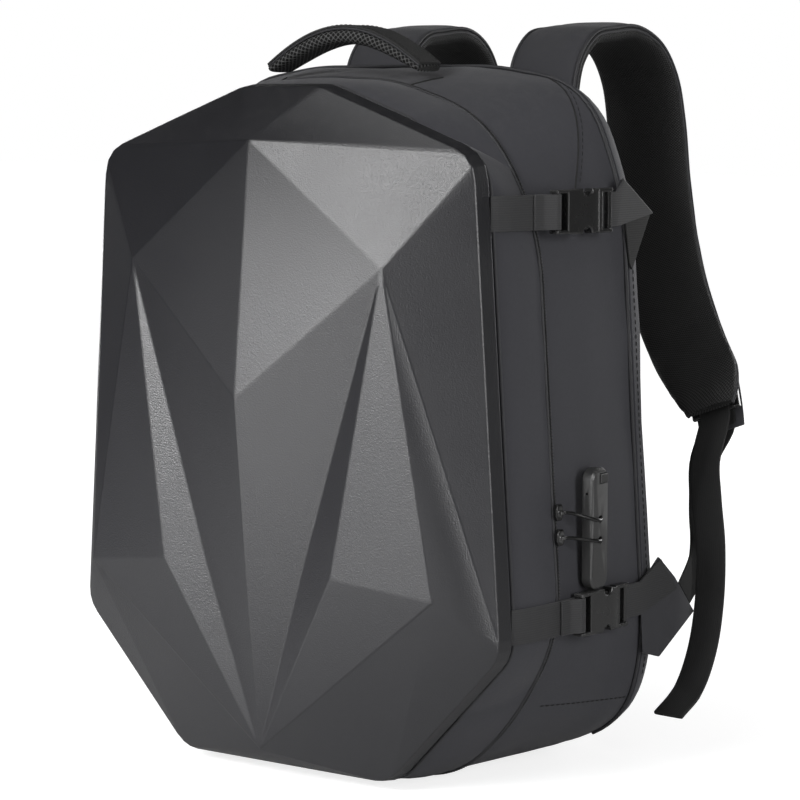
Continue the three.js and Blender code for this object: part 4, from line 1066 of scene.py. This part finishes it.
add_piece("handle_piping", joined([handle_edge(1), handle_edge(-1)]), [piping_cloth])
cover_stations = handle_stations(cover_lift)
cover_normals = [normal for _, _, normal in cover_stations]
cover_rows = []
for side in (-1, 1):
    sideways, outer_face = side * (COVER_WIDTH / 2 - 2.6), COVER_THICKNESS / 2
    line = [at + wide * sideways + normal * outer_face for at, wide, normal in cover_stations]
    cover_rows.append((line, cover_normals))
add_stitches("handle_stitches", cover_rows, length=2.6, gap=1.3, radius=0.16)

# %% [markdown]
# A shoulder strap is foam with smooth cloth outside and mesh on the side that touches the wearer.
# It leaves the back panel, arches over the top of the bag and narrows towards its lower end. Two
# cords bind each edge, and two shallow grooves cross it where it is sewn down.

# %% Shoulder straps
STRAP_THICKNESS = 14
# Each station is its place across, back and up, as shares of the bag's sizes, and its width in mm.
STRAP_STATIONS = (
    (0.397, 0.984, 0.846, 56), (0.397, 0.975, 0.896, 56), (0.397, 0.978, 0.954, 56),
    (0.397, 1.012, 1.008, 57), (0.4, 1.094, 1.042, 58), (0.402, 1.203, 1.05, 59),
    (0.405, 1.344, 1.052, 61), (0.418, 1.472, 1.027, 62), (0.429, 1.547, 0.981, 63),
    (0.446, 1.571, 0.91, 64), (0.492, 1.546, 0.802, 64), (0.631, 1.452, 0.67, 60),
    (0.803, 1.34, 0.584, 56), (0.927, 1.259, 0.542, 52), (0.978, 1.215, 0.517, 44), (1, 1.195, 0.5, 36),
)
GROOVES = (0.70, 0.79)
GROOVE_LENGTH, GROOVE_DEPTH = 0.008, 0.2
BINDING_LEVELS = (-0.62, -0.2)
MESH_ABOVE = -0.35
strap_line = catmull(
    [(a * BAG_HALF_WIDTH, b * BACK_DEPTH, u * BAG_HEIGHT) for a, b, u, _ in STRAP_STATIONS], 7
)


def strap_width(share):
    place = share * (len(STRAP_STATIONS) - 1)
    low = min(int(place), len(STRAP_STATIONS) - 2)
    return between(STRAP_STATIONS[low][3], STRAP_STATIONS[low + 1][3], place - low)


def strap_thickness(share):
    taper = min(1, 0.55 + 6 * min(share, 1 - share))
    groove = sum(GROOVE_DEPTH * math.exp(-(((share - at) / GROOVE_LENGTH) ** 2)) for at in GROOVES)
    return STRAP_THICKNESS * taper * (1 - groove)


def strap_frames(sign):
    frames = []
    for at, along in zip(strap_line, tangents(strap_line)):
        wide = Vector((1, 0, 0))
        wide = (wide - along * wide.dot(along)).normalized()
        frames.append(on_side(sign, (at, wide, along.cross(wide).normalized())))
    return frames


STRAP_SECTION = superellipse(32, 3.2)


def strap_mesh(sign):
    points, faces, marks = sweep(strap_frames(sign), STRAP_SECTION, strap_width, strap_thickness)
    count = len(STRAP_SECTION)
    sides = []
    for face in faces:
        middle = sum(STRAP_SECTION[v % count][1] for v in face) / len(face)
        sides.append(1 if middle > MESH_ABOVE else 0)
    return points, faces, marks, sides


def strap_edge(sign, side, level, radius):
    frames = strap_frames(sign)
    line = []
    for k, (at, wide, normal) in enumerate(frames):
        share = k / (len(frames) - 1)
        half_width, half_thickness = strap_width(share) / 2, strap_thickness(share) / 2
        line.append(at + wide * side * (half_width - 0.9) + normal * level * half_thickness)
    return cord_mesh(line, radius, lambda p: Vector((side * sign, 0, 0.2)))


FLAP_THICKNESS = 1.3
FLAP_TOP_WIDTH, FLAP_END_WIDTH = 38, 35
FLAP_PATH = ((7.0, 50), (12.5, 39), (17.4, 25), (18.9, 11), (18.9, -1), (18.0, -11))


def flap_stations(sign):
    """A flap of the outer cloth bulges over the slider. Its path runs out and up from the strap's end."""
    at, wide, normal = strap_frames(1)[-1]
    up = normal.cross(wide)
    line = catmull([at - normal * outer + up * height for outer, height in FLAP_PATH], 6)
    stations = [(p, wide, along.cross(wide).normalized()) for p, along in zip(line, tangents(line))]
    return [on_side(sign, station) for station in stations]


def flap_width(share):
    return between(FLAP_TOP_WIDTH, FLAP_END_WIDTH, share)


for side_name, sign in SIDES:
    cloths, replaced = [strap_cloth, fine_net], [f"shoulder_strap_{side_name}"]
    pad = add_piece(f"strap_pad_{side_name}", strap_mesh(sign), cloths, replaced)
    edges = [strap_edge(sign, side, level, 1.2) for side in (-1, 1) for level in BINDING_LEVELS]
    add_piece(f"strap_binding_{side_name}", joined(edges), [piping_cloth])
    flap = sweep(flap_stations(sign), STRIP_SECTION, flap_width, FLAP_THICKNESS)
    add_piece(f"strap_flap_{side_name}", flap, [strap_cloth])

# %% [markdown]
# One length of webbing leaves each wing, goes up through the slider at the shoulder strap's end and
# comes back down as a free tail with a folded hem. It is swept finely along the CAD solid's path.

# %% Adjuster webbing
WEBBING_WIDTH = 23
WEBBING_THICKNESS = 1.6
SLIDER_THICKNESS = 4.4
SLIDER_HEIGHT = 19
SLIDER_RAISED = 11
SLIDER_SEAT = 1.5
BAR = 3.2
HEM_LENGTH = 15
HEM_FOLD = 1.9
WEBBING_STEPS = 6
WING_TOP, WING_TIP = Vector((0, 204, 127)), Vector((0, 231, 99))
LOAD_PATH = (
    ((186, 236, 131), (0.15, 0.66, -0.74)), ((184, 248, 150), (0.5, 0.5, -0.7)),
    ((180, 256, 176), (0.85, 0.2, -0.4)), ((176, 262, 203), (1, 0, 0)),
)
TAIL_PATH = (
    (185, 247, 202), (193, 236, 176), (201, 228, 146), (202, 225, 108), (201, 217, 74), (200, 200, 49),
    (199, 175, 36),
)


def adjuster_path():
    """Points of the webbing's middle and the direction of its width at each, for the right side."""
    at, wide, normal = strap_frames(1)[-1]
    up = normal.cross(wide)
    rise = (STRAP_THICKNESS * SLIDER_SEAT + SLIDER_THICKNESS) / 2 + GAP
    centre = at - normal * rise + up * SLIDER_RAISED
    front = (SLIDER_THICKNESS + WEBBING_THICKNESS) / 2 + GAP
    crest = (BAR + WEBBING_THICKNESS) / 2 + 2 * GAP
    tall = SLIDER_HEIGHT
    upwards = (
        (1.3, -0.8 * tall), (1.1, -0.5 * tall), (1, -0.2 * tall),
        (1, crest * 0.4), (0.88, crest * 0.78), (0.45, crest),
    )
    turn = [(-share * front, height) for share, height in upwards]
    turn += [(share * front, height) for share, height in reversed(upwards)]
    edge = (WING_TIP - WING_TOP).normalized()
    leave = Vector((0, -edge.z, edge.y))
    start = WING_TOP.lerp(WING_TIP, 0.5) + leave * 0.4
    wing_low, wing_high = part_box("side_wing_right")
    start.x = (wing_low.x + wing_high.x) / 2 / MM
    points = [start, *[Vector(p) for p, _ in LOAD_PATH]]
    wides = [edge, *[Vector(w) for _, w in LOAD_PATH]]
    points += [centre + normal * inward + up * height for inward, height in turn]
    points += [Vector(p) for p in TAIL_PATH]
    wides += [wide] * len(turn) + [Vector((1, 0, 0))] * len(TAIL_PATH)
    return points, wides


def adjuster_mesh(sign):
    points, wides = adjuster_path()
    line = catmull(points, WEBBING_STEPS)
    length = sum((b - a).length for a, b in zip(line, line[1:]))
    stations = []
    for k, (at, along) in enumerate(zip(line, tangents(line))):
        low = min(k // WEBBING_STEPS, len(wides) - 2)
        wide = wides[low].lerp(wides[low + 1], k / WEBBING_STEPS - low)
        wide = (wide - along * wide.dot(along)).normalized()
        stations.append(on_side(sign, (at, wide, along.cross(wide).normalized())))
    hem = 1 - HEM_LENGTH / length

    def thickness(share):
        return WEBBING_THICKNESS * (HEM_FOLD if share > hem else 1)

    return sweep(stations, STRIP_SECTION, WEBBING_WIDTH, thickness), length


for side_name, sign in SIDES:
    webbing_mesh, webbing_length = adjuster_mesh(sign)
    replaced = [f"adjuster_webbing_{side_name}"]
    add_piece(f"adjuster_strap_{side_name}", webbing_mesh, [tail_webbing], replaced)
print("adjuster webbing", round(webbing_length), "mm long")

# %% [markdown]
# The side straps and the wings are thin and flat, and their CAD solids have the right path. Their
# copies get rounded selvedges, and the woven ribs come from the material.

# %% Webbing, wings and plastics
FOLD_BOTTOM = 0.3785
ROOT_TOP, ROOT_FRONT = 0.358, 0.032
ROOT_SHIFT = Vector((0, 0.008, -0.0025))


def paint_return_shade(strip):
    """The end that comes back under the fold gets the darker webbing below the fold's edge, as painted
    shade.
    """
    strip.data.materials.append(tail_webbing)
    for vertex in strip.data.vertices:
        if vertex.co.z < ROOT_TOP and vertex.co.y < ROOT_FRONT:
            vertex.co += ROOT_SHIFT
    # Faces below the fold's edge take the darker webbing: painted shade.
    for face in strip.data.polygons:
        if face.center.z < FOLD_BOTTOM:
            face.material_index = 1


for side_name, _ in SIDES:
    for strap in ("upper", "lower"):
        for part in ("front", "rear"):
            node = f"{strap}_{part}_webbing_{side_name}"
            strip = rounded_copy(node, strap_webbing, 0.0005, 30, 2)
            if strap == "upper" and part == "rear":
                paint_return_shade(strip)
        for half in ("female", "male"):
            node = f"{strap}_buckle_{half}_{side_name}"
            rounded_copy(node, buckle_plastic, 0.00035, 20, 2)
    rounded_copy(f"side_wing_{side_name}", strap_cloth, 0.0006, 30, 3)
    rounded_copy(f"strap_slider_{side_name}", buckle_plastic, 0.0004, 20, 2)
rounded_copy("lock_body", lock_plastic, 0.0005, 20, 3)
rounded_copy("lock_button", button_plastic, 0.0009, 30, 3, body="lock_button")
for name in ("upper", "lower"):
    rounded_copy(f"zip_slider_{name}", pull_metal, 0.0004, 25, 3)
    rounded_copy(f"zip_pull_{name}", pull_metal, 0.0004, 35, 2)
